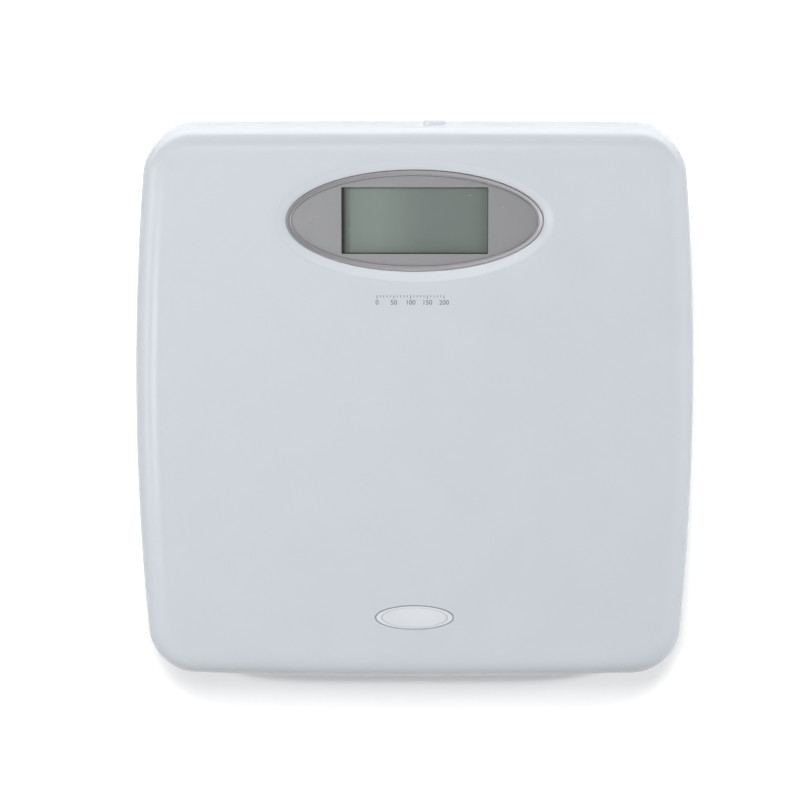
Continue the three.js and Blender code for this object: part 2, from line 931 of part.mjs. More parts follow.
function baseTray() {
  const places = footPlaces.map(({ side, end }) => ({ x: side * footX, y: end * footY, side, end }));
  const body = joined([
    trayShell(),
    ...places.map(({ x, y }) => footTower(x, y)),
    ...screwPlaces.map(({ x, y }) => rod(trayBossRadius, trayBottom, bossMeeting - restGap, x, y)),
    batteryBay(),
    switchPosts(),
    ...trayRibs(),
  ]);
  const hollowed = cut(body, [
    ...places.flatMap(({ x, y, side, end }) => footTowerCuts(x, y, side, end)),
    ...screwPlaces.flatMap(({ x, y }) => screwWell(x, y)),
    ...batteryBayCuts(),
  ]);
  return joined([hollowed, ...places.map(({ x, y }) => footPin(x, y))]);
}

// Foot: a rubber pad under a cup that carries the load cell, all about the foot's own axis

function footPad() {
  return turned([
    [0, 0],
    [padRadius - padChamfer, 0],
    [padRadius, padChamfer],
    [padRadius, padHeight],
    [0, padHeight],
  ], footSides);
}

function footCup() {
  return turned([
    [0, cupBase],
    [padRadius + restGap, cupBase],
    [padRadius + restGap, cupBase - cupRimDrop],
    [cupRadius - cupChamfer, cupBase - cupRimDrop],
    [cupRadius, cupBase - cupRimDrop + cupChamfer],
    [cupRadius, lipBase],
    [cupRadius + cupLip, lipBase],
    [cupRadius, lipTop],
    [cupRadius - cupWall, lipTop],
    [cupRadius - cupWall, cupLedge],
    [wellRadius, cupLedge],
    [wellRadius, cupFloorTop],
    [0, cupFloorTop],
  ], footSides);
}

// A steel plate whose middle tongue bends while its rim stays flat
function loadCell() {
  const plate = prism(roundedRectangle(cellSize, cellSize, cellCorner), loadCellBase, loadCellTop);
  const inner = tongueWidth / 2;
  const outer = inner + tongueSlot;
  const low = loadCellBase - overrun;
  const high = loadCellTop + overrun;
  const slots = [
    block(-outer, outer, -outer, -inner, low, high),
    block(-outer, -inner, -outer, outer, low, high),
    block(inner, outer, -outer, outer, low, high),
  ];
  const gaugeY = inner + gaugeWidth / 2;
  const gauge = centredBlock(
    gaugeLength,
    gaugeWidth,
    0,
    gaugeY,
    loadCellTop - gaugeHeight,
    loadCellTop + gaugeHeight,
  );
  return cut(plate, slots).add(gauge);
}

// Battery cell along Z, with its nub at the top and its middle at the origin
function batteryCell() {
  const half = cellLength / 2;
  return turned([
    [0, -half],
    [cellRadius - cellBevel, -half],
    [cellRadius, cellBevel - half],
    [cellRadius, half - nubLength - cellBevel],
    [cellRadius - cellBevel, half - nubLength],
    [nubRadius, half - nubLength],
    [nubRadius, half],
    [0, half],
  ], cellSides);
}

// A sprung leaf in a V, standing off its plate towards the cell
function contactLeaf(y) {
  const reach = bayEndSpace - restGap - contactThickness - restGap;
  const half = leafHeight / 2;
  const shape = new THREE.Shape();
  shape.moveTo(-contactThickness / 2, -half);
  shape.lineTo(reach, 0);
  shape.lineTo(-contactThickness / 2, half);
  shape.lineTo(-contactThickness / 2, half - contactThickness * 2);
  shape.lineTo(reach - contactThickness * 2, 0);
  shape.lineTo(-contactThickness / 2, contactThickness * 2 - half);
  shape.closePath();
  return backPrism(shape, y - leafWidth / 2, y + leafWidth / 2, 0, 0);
}

// A contact plate at the bay's left end, standing on X = 0, for a run of neighbouring cells
function batteryContact(cells) {
  const width = (cells - 1) * cellSpacing + leafWidth + 2 * contactMargin;
  const half = contactHeight / 2;
  const plate = block(-contactThickness, 0, -width / 2, width / 2, -half, half);
  const leaves = [];
  for (let i = 0; i < cells; i += 1) {
    leaves.push(contactLeaf((i - (cells - 1) / 2) * cellSpacing));
  }
  return joined([plate, ...leaves]);
}

// Door, drawn in place; its hinge line is the lower left edge
function batteryDoor() {
  const left = -doorLength / 2;
  const right = doorLength / 2;
  const plate = centredBlock(doorLength, doorWidth, 0, 0, trayBottom, doorTop);
  const tongueBase = trayTop + restGap;
  const tongues = [-1, 1].flatMap((side) => {
    const middle = side * tongueSpacing / 2;
    const near = middle - tongueLength / 2;
    const far = middle + tongueLength / 2;
    const top = tongueBase + tongueThickness;
    return [
      block(left, left + tongueRoot, near, far, doorTop - overrun, top),
      block(left - tongueReach, left + tongueRoot, near, far, tongueBase, top),
    ];
  });
  const latchTop = doorTop + latchHeight;
  const latchNear = -latchWidth / 2;
  const latchFar = latchWidth / 2;
  const latch = [
    block(right - latchThickness, right, latchNear, latchFar, doorTop - overrun, latchTop),
    block(right - latchThickness, right + noseReach, latchNear, latchFar, latchTop - noseHeight, latchTop),
  ];
  const scoopX = right - scoopRadius - latchThickness;
  const scoop = rod(scoopRadius, trayBottom - overrun, trayBottom + scoopDepth, scoopX, 0, cellSides);
  return joined([plate, ...tongues, ...latch]).subtract(scoop);
}

// Unit button and its switch, which work along Y

const buttonFace = backOuter + buttonProud;
const flangeFace = backInner - restGap;
const stemBack = flangeFace - buttonFlangeThickness - stemLength;
const plungerFront = stemBack - restGap;

function unitButton() {
  const cap = roundedRectangle(buttonLength, buttonWidth, buttonCorner);
  const flange = roundedRectangle(
    buttonLength + 2 * buttonFlange,
    buttonWidth + 2 * buttonFlange,
    buttonCorner + buttonFlange,
  );
  const flangeBack = flangeFace - buttonFlangeThickness;
  return joined([
    backPrism(cap, flangeBack, buttonFace, buttonX, buttonHeight),
    backPrism(flange, flangeBack, flangeFace, buttonX, buttonHeight),
    backRod(stemRadius, stemBack, flangeFace, buttonX, buttonHeight),
  ]);
}

function switchPlunger() {
  return backRod(plungerRadius, plungerFront - plungerLength, plungerFront, buttonX, buttonHeight);
}

function switchBody() {
  const half = switchSize / 2;
  const low = buttonHeight - half;
  const high = buttonHeight + half;
  const body = block(buttonX - half, buttonX + half, switchBack, switchFront, low, high);
  const boreRadius = plungerRadius + restGap;
  const boreEnd = switchFront - plungerReach - buttonTravel - restGap;
  return body.subtract(
    backRod(boreRadius, boreEnd, switchFront + overrun, buttonX, buttonHeight),
  );
}

function switchBoard() {
  const base = trayTop + restGap;
  const half = switchBoardLength / 2;
  const top = base + switchBoardHeight;
  return block(buttonX - half, buttonX + half, switchBoardBack, switchBoardFront, base, top);
}

// Leads that lie on the tray's floor and rise to the socket under the board

// A path whose steps fall on its own points, so that a straight run takes one step
class LeadPath extends THREE.Curve {
  constructor(points) {
    super();
    this.points = points;
  }

  getUtoTmapping(share) {
    return share;
  }

  getPoint(share, target = new THREE.Vector3()) {
    const last = this.points.length - 1;
    const at = share * last;
    const i = Math.min(Math.floor(at), last - 1);
    return target.lerpVectors(this.points[i], this.points[i + 1], at - i);
  }
}

function stepTowards(from, to) {
  const leg = from.distanceTo(to);
  return from.clone().lerp(to, Math.min(leadBend / leg, bendShare));
}

// The points of a route, with each of its corners rounded
function bentRoute(corners) {
  const points = [corners[0]];
  for (let i = 1; i < corners.length - 1; i += 1) {
    const before = stepTowards(corners[i], corners[i - 1]);
    const after = stepTowards(corners[i], corners[i + 1]);
    const bend = new THREE.QuadraticBezierCurve3(before, corners[i], after);
    points.push(...bend.getPoints(bendSteps));
  }
  points.push(corners[corners.length - 1]);
  return points;
}

function lead(corners) {
  const points = bentRoute(corners.map(([x, y, z]) => new THREE.Vector3(x, y, z)));
  const section = new THREE.Shape(ellipseRing(2 * leadRadius, 2 * leadRadius, 0, 0, 0, leadSides));
  const options = { steps: points.length - 1, extrudePath: new LeadPath(points), bevelEnabled: false };
  return solid(new THREE.ExtrudeGeometry(section, options));
}

// The last corners of each lead: along the floor to its slot, then up to the socket
function leadEnd(slot, startX, startY) {
  const x = slot * leadPitch;
  return [
    [startX, startY, leadLevel],
    [x, socketY, leadLevel],
    [x, socketY, boardBase - restGap - socketHeight - restGap],
  ];
}

// The first corners of a load cell's lead: up through the pocket's roof, over and down beside it
function cellLeadStart(side, end) {
  const corner = (reach, z) => [
    side * (footX - reach * Math.SQRT1_2),
    end * (footY - reach * Math.SQRT1_2),
    z,
  ];
  const beside = pocketRadius + pocketWall + leadClear;
  return [
    corner(leadHoleReach, loadCellTop + restGap),
    corner(leadHoleReach, towerBase + leadClear),
    corner(beside, towerBase + leadClear),
    corner(beside, leadLevel),
  ];
}

const leadPassX = rimLength / 2 + 2 * leadClear;
const leadPassY = rimWidth / 2 + 2 * leadClear;
const displayFront = displayY - displayBossY;

function frontLead(side) {
  return lead([
    ...cellLeadStart(side, -1),
    [side * leadPassX, -leadPassY, leadLevel],
    [side * leadPassX, leadPassY, leadLevel],
    ...leadEnd(side * frontSlot, side * frontSlot * leadPitch, displayFront),
  ]);
}

function backLead(side) {
  return lead([
    ...cellLeadStart(side, 1),
    ...leadEnd(side * backSlot, side * displayBossX, displayY),
  ]);
}

function batteryLead() {
  const overBay = bayRoof + bayWall + leadClear;
  return lead([
    [0, bayLeadY, bayRoof],
    [0, bayLeadY, overBay],
    [0, leadPassY, overBay],
    [0, leadPassY, leadLevel],
    ...leadEnd(-innerSlot, -innerSlot * leadPitch, displayFront),
  ]);
}

function switchLead() {
  const startY = switchBoardBack - restGap - leadRadius;
  const slotX = innerSlot * leadPitch;
  return lead([
    [buttonX, startY, trayTop + postHeight],
    [buttonX, startY, leadLevel],
    ...leadEnd(innerSlot, slotX, startY - buttonX + slotX),
  ]);
}

// Materials

function finish(color, roughness, metalness = 0) {
  return new THREE.MeshStandardMaterial({ color, roughness, metalness });
}

const bluishPlastic = () => finish(0xd0d5db, 0.45);
const greyPlastic = () => finish(0xb9bec6, 0.6);
const whitePlastic = () => finish(0xe4e6e8, 0.5);
const darkPlastic = () => finish(0x2b2d30, 0.5);
const blackRubber = () => finish(0x222325, 0.9);
const greyRubber = () => finish(0x8d8f92, 0.9);
const platedPlastic = () => finish(0xa6a6a9, 0.25, 0.8);
const silverPaint = () => finish(0x9a9a9c, 0.4, 0.5);
const clearPlastic = () => finish(0xf2f5f6, 0.08);
const displayGlass = () => finish(0x818b83, 0.2);
const steel = () => finish(0x9fa3a8, 0.4, 0.9);
const greenBoard = () => finish(0x2f6b46, 0.5);
const cellJacket = () => finish(0x4a6fa5, 0.4, 0.3);
const whiteInk = () => finish(0xdfe2e7, 0.35);

// Assembly

const floorScale = new THREE.Group();

function place(group, name, shape, material, position = [0, 0, 0], rotation = [0, 0, 0]) {
  const data = shape.getMesh();
  const geometry = new THREE.BufferGeometry();
  geometry.setAttribute('position', new THREE.BufferAttribute(data.vertProperties, 3));
  geometry.setIndex(new THREE.BufferAttribute(data.triVerts, 1));
  geometry.computeVertexNormals();
  const mesh = new THREE.Mesh(geometry, material);
  mesh.name = name;
  mesh.position.set(...position);
  mesh.rotation.set(...rotation);
  group.add(mesh);
}

function platformGroup() {
  const group = new THREE.Group();
  place(group, 'platform_cover', platformCover(), bluishPlastic());
  place(group, 'steel_deck', steelDeck(), steel());
  place(group, 'badge', badge(), whiteInk());
  return group;
}

function displayGroup() {
  const group = new THREE.Group();
  place(group, 'bezel_ring', bezel(), platedPlastic());
  place(group, 'bezel_panel', bezelPanel(), silverPaint());
  place(group, 'display_lens', displayLens(), clearPlastic());
  place(group, 'lcd_module', lcdModule(), displayGlass());
  place(group, 'lcd_frame', lcdFrame(), whitePlastic());
  place(group, 'lcd_connector_front', lcdConnector(-1), greyRubber());
  place(group, 'lcd_connector_back', lcdConnector(1), greyRubber());
  place(group, 'main_board', mainBoard(), greenBoard());
  place(group, 'processor', processor(), darkPlastic());
  place(group, 'buzzer', buzzer(), darkPlastic());
  place(group, 'lead_socket', leadSocket(), whitePlastic());
  const earScrew = screw(
    smallHeadRadius, smallHeadHeight, smallShankRadius, smallShankLength, smallRecess,
  );
  displayBossPlaces.forEach(({ x, y }, i) => {
    place(group, `display_screw_${i + 1}`, earScrew, steel(), [x, y, frameBase - restGap]);
  });
  const boardScrew = screw(
    smallHeadRadius, smallHeadHeight, smallShankRadius, boardScrewLength, smallRecess,
  );
  boardScrewPlaces.forEach(({ x, y }, i) => {
    place(group, `board_screw_${i + 1}`, boardScrew, steel(), [x, y, boardBase - restGap]);
  });
  return group;
}

function footGroup({ side, end, label }) {
  const group = new THREE.Group();
  group.position.set(side * footX, end * footY, 0);
  place(group, `foot_pad_${label}`, footPad(), blackRubber());
  place(group, `foot_cup_${label}`, footCup(), greyPlastic());
  place(group, `load_cell_${label}`, loadCell(), steel());
  return group;
}

function batteryGroup() {
  const group = new THREE.Group();
  for (let i = 0; i < cellCount; i += 1) {
    const y = (i - (cellCount - 1) / 2) * cellSpacing;
    const turn = i % 2 === 0 ? Math.PI / 2 : -Math.PI / 2;
    place(group, `battery_${i + 1}`, batteryCell(), cellJacket(), [0, y, cellAxis], [0, turn, 0]);
  }
  const left = contactThickness + restGap - bayLength / 2;
  const half = Math.PI;
  const pairY = cellSpacing * (cellCount / 2 - 1);
  const endY = cellSpacing * (cellCount - 1) / 2;
  place(group, 'left_contact_front', batteryContact(2), steel(), [left, -pairY, cellAxis]);
  place(group, 'left_contact_back', batteryContact(2), steel(), [left, pairY, cellAxis]);
  place(group, 'right_contact_middle', batteryContact(2), steel(), [-left, 0, cellAxis], [0, 0, half]);
  place(group, 'right_contact_front', batteryContact(1), steel(), [-left, -endY, cellAxis], [0, 0, half]);
  place(group, 'right_contact_back', batteryContact(1), steel(), [-left, endY, cellAxis], [0, 0, half]);
  place(group, 'battery_door', batteryDoor(), greyPlastic());
  return group;
}

function buttonGroup() {
  const group = new THREE.Group();
  place(group, 'unit_button', unitButton(), greyPlastic());
  place(group, 'switch_plunger', switchPlunger(), darkPlastic());
  place(group, 'switch_body', switchBody(), darkPlastic());
  place(group, 'switch_board', switchBoard(), greenBoard());
  return group;
}

function leadGroup() {
  const group = new THREE.Group();
  place(group, 'cell_lead_front_left', frontLead(-1), darkPlastic());
  place(group, 'cell_lead_front_right', frontLead(1), darkPlastic());
  place(group, 'cell_lead_back_left', backLead(-1), darkPlastic());
  place(group, 'cell_lead_back_right', backLead(1), darkPlastic());
  place(group, 'battery_lead', batteryLead(), darkPlastic());
  place(group, 'switch_lead', switchLead(), darkPlastic());
  return group;
}

function trayGroup() {
  const group = new THREE.Group();
  place(group, 'base_tray', baseTray(), greyPlastic());
  const caseScrew = screw(headRadius, headHeight, shankRadius, shankLength, caseRecess);
  screwPlaces.forEach(({ x, y }, i) => {
    place(group, `case_screw_${i + 1}`, caseScrew, steel(), [x, y, headSeat - restGap]);
  });
  return group;
}

floorScale.add(
  platformGroup(),
  displayGroup(),
  trayGroup(),
  ...footPlaces.map(footGroup),
  batteryGroup(),
  buttonGroup(),
  leadGroup(),
);

export default floorScale;
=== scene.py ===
# %% [markdown]
# # A digital floor scale
# This lesson dresses a finished CAD model of a floor scale: a moulded platform with an oval display near its
# back edge, four feet below, a battery door and a small unit button.
# The CAD model stays where it is. Each visible shell is built again with smooth, close-meshed surfaces on the
# same sizes, and the pieces that are right already only get a better finish.

# %% Load the frame
import math

import bmesh
import bpy
from mathutils import Matrix, Vector


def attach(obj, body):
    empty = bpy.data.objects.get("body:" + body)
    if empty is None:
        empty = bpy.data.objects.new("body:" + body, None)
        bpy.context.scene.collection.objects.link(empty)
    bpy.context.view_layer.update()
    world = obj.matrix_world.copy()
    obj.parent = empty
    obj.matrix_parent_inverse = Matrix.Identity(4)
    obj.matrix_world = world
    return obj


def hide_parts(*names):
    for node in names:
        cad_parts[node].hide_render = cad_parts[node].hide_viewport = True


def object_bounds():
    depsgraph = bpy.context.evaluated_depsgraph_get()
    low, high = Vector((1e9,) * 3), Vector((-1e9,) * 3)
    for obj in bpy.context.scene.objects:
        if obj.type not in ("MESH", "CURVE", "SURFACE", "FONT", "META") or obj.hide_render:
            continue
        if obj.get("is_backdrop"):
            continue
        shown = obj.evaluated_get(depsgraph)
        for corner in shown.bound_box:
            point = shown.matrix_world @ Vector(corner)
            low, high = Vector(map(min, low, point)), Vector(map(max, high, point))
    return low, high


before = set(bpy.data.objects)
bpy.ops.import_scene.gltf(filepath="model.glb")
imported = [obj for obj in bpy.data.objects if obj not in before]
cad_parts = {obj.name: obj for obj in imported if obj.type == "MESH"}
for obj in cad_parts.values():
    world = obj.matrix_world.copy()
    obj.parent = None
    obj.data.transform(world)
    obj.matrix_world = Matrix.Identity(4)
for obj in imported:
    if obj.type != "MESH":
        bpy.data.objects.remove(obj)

MM = 0.001
scene = bpy.context.scene
cad_low, cad_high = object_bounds()


def metres(millimetres):
    return [value * MM for value in millimetres]


def add_object(name, data):
    made = bpy.data.objects.new(name, data)
    scene.collection.objects.link(made)
    return made


def to_object(bm, name):
    """Turns a bmesh into an object of the scene."""
    data = bpy.data.meshes.new(name)
    bm.to_mesh(data)
    bm.free()
    return add_object(name, data)


def print_size(title, low, high):
    print(title, "in millimetres:", [round((b - a) / MM, 1) for a, b in zip(low, high)])


print_size("CAD box", cad_low, cad_high)

# %% [markdown]
# ## The camera
# The photograph looks at the platform nearly face on, from ten degrees towards the display. A long lens from
# about two metres away gives the same slight narrowing towards the front edge. The camera's axes are set one by
# one, because the usual way to aim a camera turns the picture round when it looks straight down.

# %% Place the camera
FACE_CENTRE = Vector((0, 0.0003, 0.056))
AIM_POINT = Vector((-0.00855, 0.00535, 0.056))
VIEW_TILT = math.radians(10)
VIEW_DISTANCE = 1.877
SENSOR_WIDTH = 36
LENS = 144.3

camera_data = bpy.data.cameras.new("photo_camera")
camera_data.sensor_width = SENSOR_WIDTH
camera_data.lens = LENS
camera = add_object("photo_camera", camera_data)
camera.location = FACE_CENTRE + VIEW_DISTANCE * Vector((0, math.sin(VIEW_TILT), math.cos(VIEW_TILT)))
camera_back = (camera.location - AIM_POINT).normalized()
camera_right = Vector((0, 1, 0)).cross(camera_back).normalized()
camera_up = camera_back.cross(camera_right)
camera.rotation_euler = Matrix((camera_right, camera_up, camera_back)).transposed().to_euler()
scene.camera = camera
scene.view_settings.view_transform = "Standard"
print("camera at", [round(x, 3) for x in camera.location])

# %% [markdown]
# ## Small helpers for shader nodes
# A material is a tree of nodes. Writing each node as one call, with its inputs in a dictionary, keeps a tree
# short enough to read: a number sets a socket, and another node's output links to it.

# %% Make nodes, colours and groups
ORIGIN = (0.0, 0.0, 0.0)
WHITE = (1, 1, 1, 1)


def srgb(red, green, blue):
    """A colour as it looks on screen, 0 to 255, as the linear numbers that a shader takes."""
    linear = []
    for channel in (red, green, blue):
        share = channel / 255
        linear.append(share / 12.92 if share <= 0.04045 else ((share + 0.055) / 1.055) ** 2.4)
    return (*linear, 1)


def add_node(tree, kind, inputs=None, **settings):
    """Adds a node, sets or links its inputs, and returns its outputs."""
    made = tree.nodes.new("ShaderNode" + kind)
    for name, value in settings.items():
        setattr(made, name, value)
    for socket, value in (inputs or {}).items():
        if isinstance(value, bpy.types.NodeSocket):
            tree.links.new(value, made.inputs[socket])
        else:
            made.inputs[socket].default_value = value
    return made.outputs


def maths(tree, operation, first, second=0.5):
    return add_node(tree, "Math", {0: first, 1: second}, operation=operation)[0]


def vector_maths(tree, operation, first, second=ORIGIN):
    made = add_node(tree, "VectorMath", {0: first, 1: second}, operation=operation)
    return made["Value" if operation == "LENGTH" else "Vector"]


def axes(tree, vector):
    """The parts of a vector, by X, Y and Z."""
    return add_node(tree, "SeparateXYZ", {"Vector": vector})


def mix_colours(tree, mask, under, over):
    """The colour over lies on the colour under where the mask is 1."""
    return add_node(tree, "Mix", {0: mask, 6: under, 7: over}, data_type="RGBA")[2]


def ramp(tree, value, *stops):
    """Turns a value into a colour, by stops of (place, colour)."""
    made = add_node(tree, "ValToRGB", {"Fac": value})["Color"]
    made.node.color_ramp.interpolation = "EASE"
    steps = made.node.color_ramp.elements
    steps[0].position, steps[0].color = stops[0]
    steps[1].position, steps[1].color = stops[-1]
    for place, colour in stops[1:-1]:
        steps.new(place).color = colour
    return made


def tones(tree, value, dark, pale, start=0.3, end=0.7):
    """A colour that drifts from dark to pale as the value goes from start to end."""
    return ramp(tree, value, (start, dark), (end, pale))


def fade(tree, value, start, end, low=0.0, high=1.0, kind="SMOOTHSTEP"):
    """Turns a value into another, level before start and after end, and smooth between them."""
    sockets = {"Value": value, "From Min": start, "From Max": end, "To Min": low, "To Max": high}
    return add_node(tree, "MapRange", sockets, interpolation_type=kind)[0]


def product(tree, first, *others):
    for other in others:
        first = maths(tree, "MULTIPLY", first, other)
    return first


def open_group(name, **inputs):
    """An empty node group and its inputs, each with the value it has when nothing is linked."""
    group = bpy.data.node_groups.new(name, "ShaderNodeTree")
    for socket, value in inputs.items():
        kind = "NodeSocketFloat" if isinstance(value, float) else "NodeSocketVector"
        group.interface.new_socket(socket, in_out="INPUT", socket_type=kind).default_value = value
    return group, group.nodes.new("NodeGroupInput").outputs


def close_group(group, **outputs):
    """Gives the group its outputs, each linked to a value inside it."""
    for socket in outputs:
        group.interface.new_socket(socket, in_out="OUTPUT", socket_type="NodeSocketFloat")
    end = group.nodes.new("NodeGroupOutput").inputs
    for socket, value in outputs.items():
        group.links.new(value, end[socket])


print("pale blue grey as a shader sees it:", [round(x, 3) for x in srgb(208, 213, 219)])

# %% [markdown]
# ## The stage
# The ground is plain white, with a soft shadow along the front edge alone. The floor is a diffuse surface that
# keeps this shadow. It also has a glow that only the camera, mirrors and glass see, in steps from the case
# outwards: hardly any under it, a little where the shadow shows, more on the open floor, and most far out, so that
# a view from the side has no grey horizon. The low steps near the case are painted shade: they deepen the shadow
# there, darkest in a narrow band along the front edge. Diffuse light and lamplight pass the floor, as over a lit
# table, so that the underside can be looked at too.

# %% Build the floor
FLOOR_HALF = 4
FLOOR_COLOUR = (0.86, 0.86, 0.865, 1)
SEEN_RAYS = ("Camera", "Glossy", "Transmission")
PASSING_RAYS = ("Diffuse", "Shadow")
SHADE_MIDDLE = (0, -0.022, 0)
SHADE_REACH = (0.168, 0.184)
SHADE_CORNERS = 6
# The first two steps keep the glow low on and near the case: painted shade that deepens its shadow, darkest along
# the front edge.
# How far out a step starts and ends, and what it adds to the glow before and after
GLOW_STEPS = [(0.36, 0.43, 0.03, 0.25), (0.75, 1.1, 0.0, 0.21), (1000, 1000000, 0.0, 0.6)]


def of_ray(tree, kinds):
    """1 for a ray of one of these kinds."""
    path = add_node(tree, "LightPath")
    found = 0.0
    for kind in kinds:
        found = maths(tree, "MAXIMUM", found, path[f"Is {kind} Ray"])
    return found


def bare_tree(owner):
    """The emptied node tree of a material or world."""
    owner.use_nodes = True
    owner.node_tree.nodes.clear()
    return owner.node_tree


def floor_glow(tree):
    """The glow by distance, which is 1 on a rounded rectangle a little larger than the case."""
    place = add_node(tree, "TexCoord")["Object"]
    parts = axes(tree, vector_maths(tree, "SUBTRACT", place, SHADE_MIDDLE))
    shares = [maths(tree, "DIVIDE", parts[axis], reach) for axis, reach in enumerate(SHADE_REACH)]
    powers = [maths(tree, "POWER", maths(tree, "ABSOLUTE", share), SHADE_CORNERS) for share in shares]
    out = maths(tree, "ADD", *powers)
    near, open_floor, far = [fade(tree, out, *step) for step in GLOW_STEPS]
    return maths(tree, "ADD", maths(tree, "ADD", near, open_floor), far)


def floor_material():
    material = bpy.data.materials.new("plain_floor")
    tree = bare_tree(material)
    diffuse = add_node(tree, "BsdfDiffuse", {"Color": FLOOR_COLOUR})[0]
    strength = maths(tree, "MULTIPLY", of_ray(tree, SEEN_RAYS), floor_glow(tree))
    glow = add_node(tree, "Emission", {"Color": WHITE, "Strength": strength})[0]
    ground = add_node(tree, "AddShader", {0: diffuse, 1: glow})[0]
    clear = add_node(tree, "BsdfTransparent")[0]
    back = add_node(tree, "NewGeometry")["Backfacing"]
    hidden = maths(tree, "MAXIMUM", back, of_ray(tree, PASSING_RAYS))
    surface = add_node(tree, "MixShader", {0: hidden, 1: ground, 2: clear})[0]
    add_node(tree, "OutputMaterial", {"Surface": surface})
    return material


floor_mesh = bmesh.new()
bmesh.ops.create_grid(floor_mesh, x_segments=1, y_segments=1, size=FLOOR_HALF)
floor = to_object(floor_mesh, "floor")
floor.data.materials.append(floor_material())
floor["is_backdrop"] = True
print("floor made,", 2 * FLOOR_HALF, "metres wide")

# %% [markdown]
# Mirrors see a room that is dimmer round the camera and brightest on the left, with a pale card left of the
# camera. The room's light on the object itself is even and weak, because the lamps below do that work.

# %% Light the room
ROOM_LIGHT = 0.2
ROOM_COLOUR = (0.975, 0.985, 1, 1)
# Each fade: the axis of the direction, where it starts and ends, and its levels there
ROOM_FADES = [("Z", 0.86, 0.99, 1.0, 0.5), ("X", -0.35, 0.35, 1.3, 0.45)]
CARD_FADES = [("X", -0.1, -0.055, 0.0, 4.0), ("X", -0.05, -0.034, 1.0, 0.0), ("Y", -0.27, -0.18), ("Z", 0.9, 0.96)]

world = bpy.data.worlds.new("studio")
scene.world = world
sky_tree = bare_tree(world)
directions = axes(sky_tree, add_node(sky_tree, "TexCoord")["Generated"])
room_level, card_level = [
    product(sky_tree, *[fade(sky_tree, directions[axis], *numbers) for axis, *numbers in fades])
    for fades in (ROOM_FADES, CARD_FADES)
]
mirrored = maths(sky_tree, "ADD", room_level, card_level)
level = add_node(sky_tree, "Mix", {0: of_ray(sky_tree, ["Glossy"]), 2: 1.0, 3: mirrored})[0]
room = add_node(sky_tree, "Background", {"Color": ROOM_COLOUR, "Strength": ROOM_LIGHT})[0]
backdrop = add_node(sky_tree, "Background", {"Color": WHITE, "Strength": level})[0]
sky = add_node(sky_tree, "MixShader", {0: of_ray(sky_tree, SEEN_RAYS), 1: room, 2: backdrop})[0]
add_node(sky_tree, "OutputWorld", {"Surface": sky})
print("room light", ROOM_LIGHT)

# %% [markdown]
# ## Lamps
# A key lamp high over the back edge throws the short shadow in front. A tall strip on the left draws the upright
# highlight on the left rounding. Wide fills at the left, right and front lift those sides; mirrors don't see
# them, or they would burn out the glossy face in a view from the side. The back lamp lies below the floor behind
# the scale, so that it lights the back rounding alone. The side strip and the two cards are seen by mirrors
# alone, and stand for the bright walls and ground of a studio. The last lamp is there for the underside.
# The clear cover sees no lamp through itself, because its rim would draw them as bright dashes.

# %% Place the lamps
# Each lamp: its name, its place, the point it faces, its size and its power
LAMPS = [
    ("key_lamp", (-0.15, 0.9, 1.92), (0, 0, 0), (0.9, 0.6), 19.1),
    ("left_strip", (-0.83, -0.225, 1.54), (0, 0, 0), (0.30, 0.55), 2.2),
    ("left_fill", (-1.9, 0.0, 0.9), (0, 0, 0), (1.0, 1.6), 15.6),
    ("right_fill", (1.9, 0.0, 0.7), (0, 0, 0), (1.2, 2.0), 22.0),
    ("front_fill", (0.0, -1.9, 0.9), (0, 0, 0), (1.6, 1.0), 4.0),
    ("back_lamp", (0.0, 1.6, -0.7), (0, 0.165, 0.05), (1.6, 0.5), 19.5),
    ("side_strip", (-1.9, 0.0, 1.08), (0, 0, 0), (1.2, 0.5), 3.2),
    ("back_card", (0.0, 0.46, 0.012), (0, 0.46, 1), (0.9, 0.40), 3.4),
    ("edge_card", (0.0, 0.223, 0.012), (0, 0.223, 1), (0.9, 0.073), 0.34),
    ("under_lamp", (0.0, 0.0, -1.8), (0, 0, 0), (1.5, 1.5), 11.0),
]
ONLY_MIRRORED = ["side_strip", "back_card", "edge_card"]
MIRRORED = ["left_strip", "under_lamp", *ONLY_MIRRORED]

for lamp_name, spot, aim, size, power in LAMPS:
    lamp_data = bpy.data.lights.new(lamp_name, "AREA")
    lamp_data.shape = "RECTANGLE"
    lamp_data.size, lamp_data.size_y = size
    lamp_data.energy = power
    lamp = add_object(lamp_name, lamp_data)
    lamp.location = spot
    lamp.rotation_euler = (Vector(spot) - Vector(aim)).to_track_quat("Z", "Y").to_euler()
    lamp.visible_camera = False
    lamp.visible_glossy = lamp_name in MIRRORED
    lamp.visible_transmission = False
    lamp.visible_diffuse = lamp_name not in ONLY_MIRRORED
print(len(LAMPS), "lamps")

# %% [markdown]
# ## Effects that several finishes share
# Moulded plastic is never quite even: the tool leaves a fine grain, and the colour and gloss drift a little
# over the length of a hand. Both come from noise at two scales. Rolled or brushed metal has the same noise drawn
# out in one direction. Dust lies in specks, and a hairline scratch is the space close to one short line.

# %% Build the effect groups
def noise(tree, vector, scale, detail, roughness=0.5):
    sockets = {"Vector": vector, "Scale": scale, "Detail": detail, "Roughness": roughness}
    return add_node(tree, "TexNoise", sockets)["Fac"]


moulded_grain, given = open_group("moulded_grain", Vector=ORIGIN, Grain=2600.0, Patch=14.0)
fine = noise(moulded_grain, given["Vector"], given["Grain"], 2.0, 0.55)
broad = noise(moulded_grain, given["Vector"], given["Patch"], 3.0)
close_group(moulded_grain, Height=fine, Tone=broad)

drawn_grain, given = open_group("drawn_grain", Vector=ORIGIN, Grain=900.0, Stretch=(0.03, 1.0, 1.0))
drawn = vector_maths(drawn_grain, "MULTIPLY", given["Vector"], given["Stretch"])
lines = noise(drawn_grain, drawn, given["Grain"], 4.0, 0.65)
clouds = noise(drawn_grain, given["Vector"], 22.0, 2.0)
close_group(drawn_grain, Height=lines, Tone=clouds)

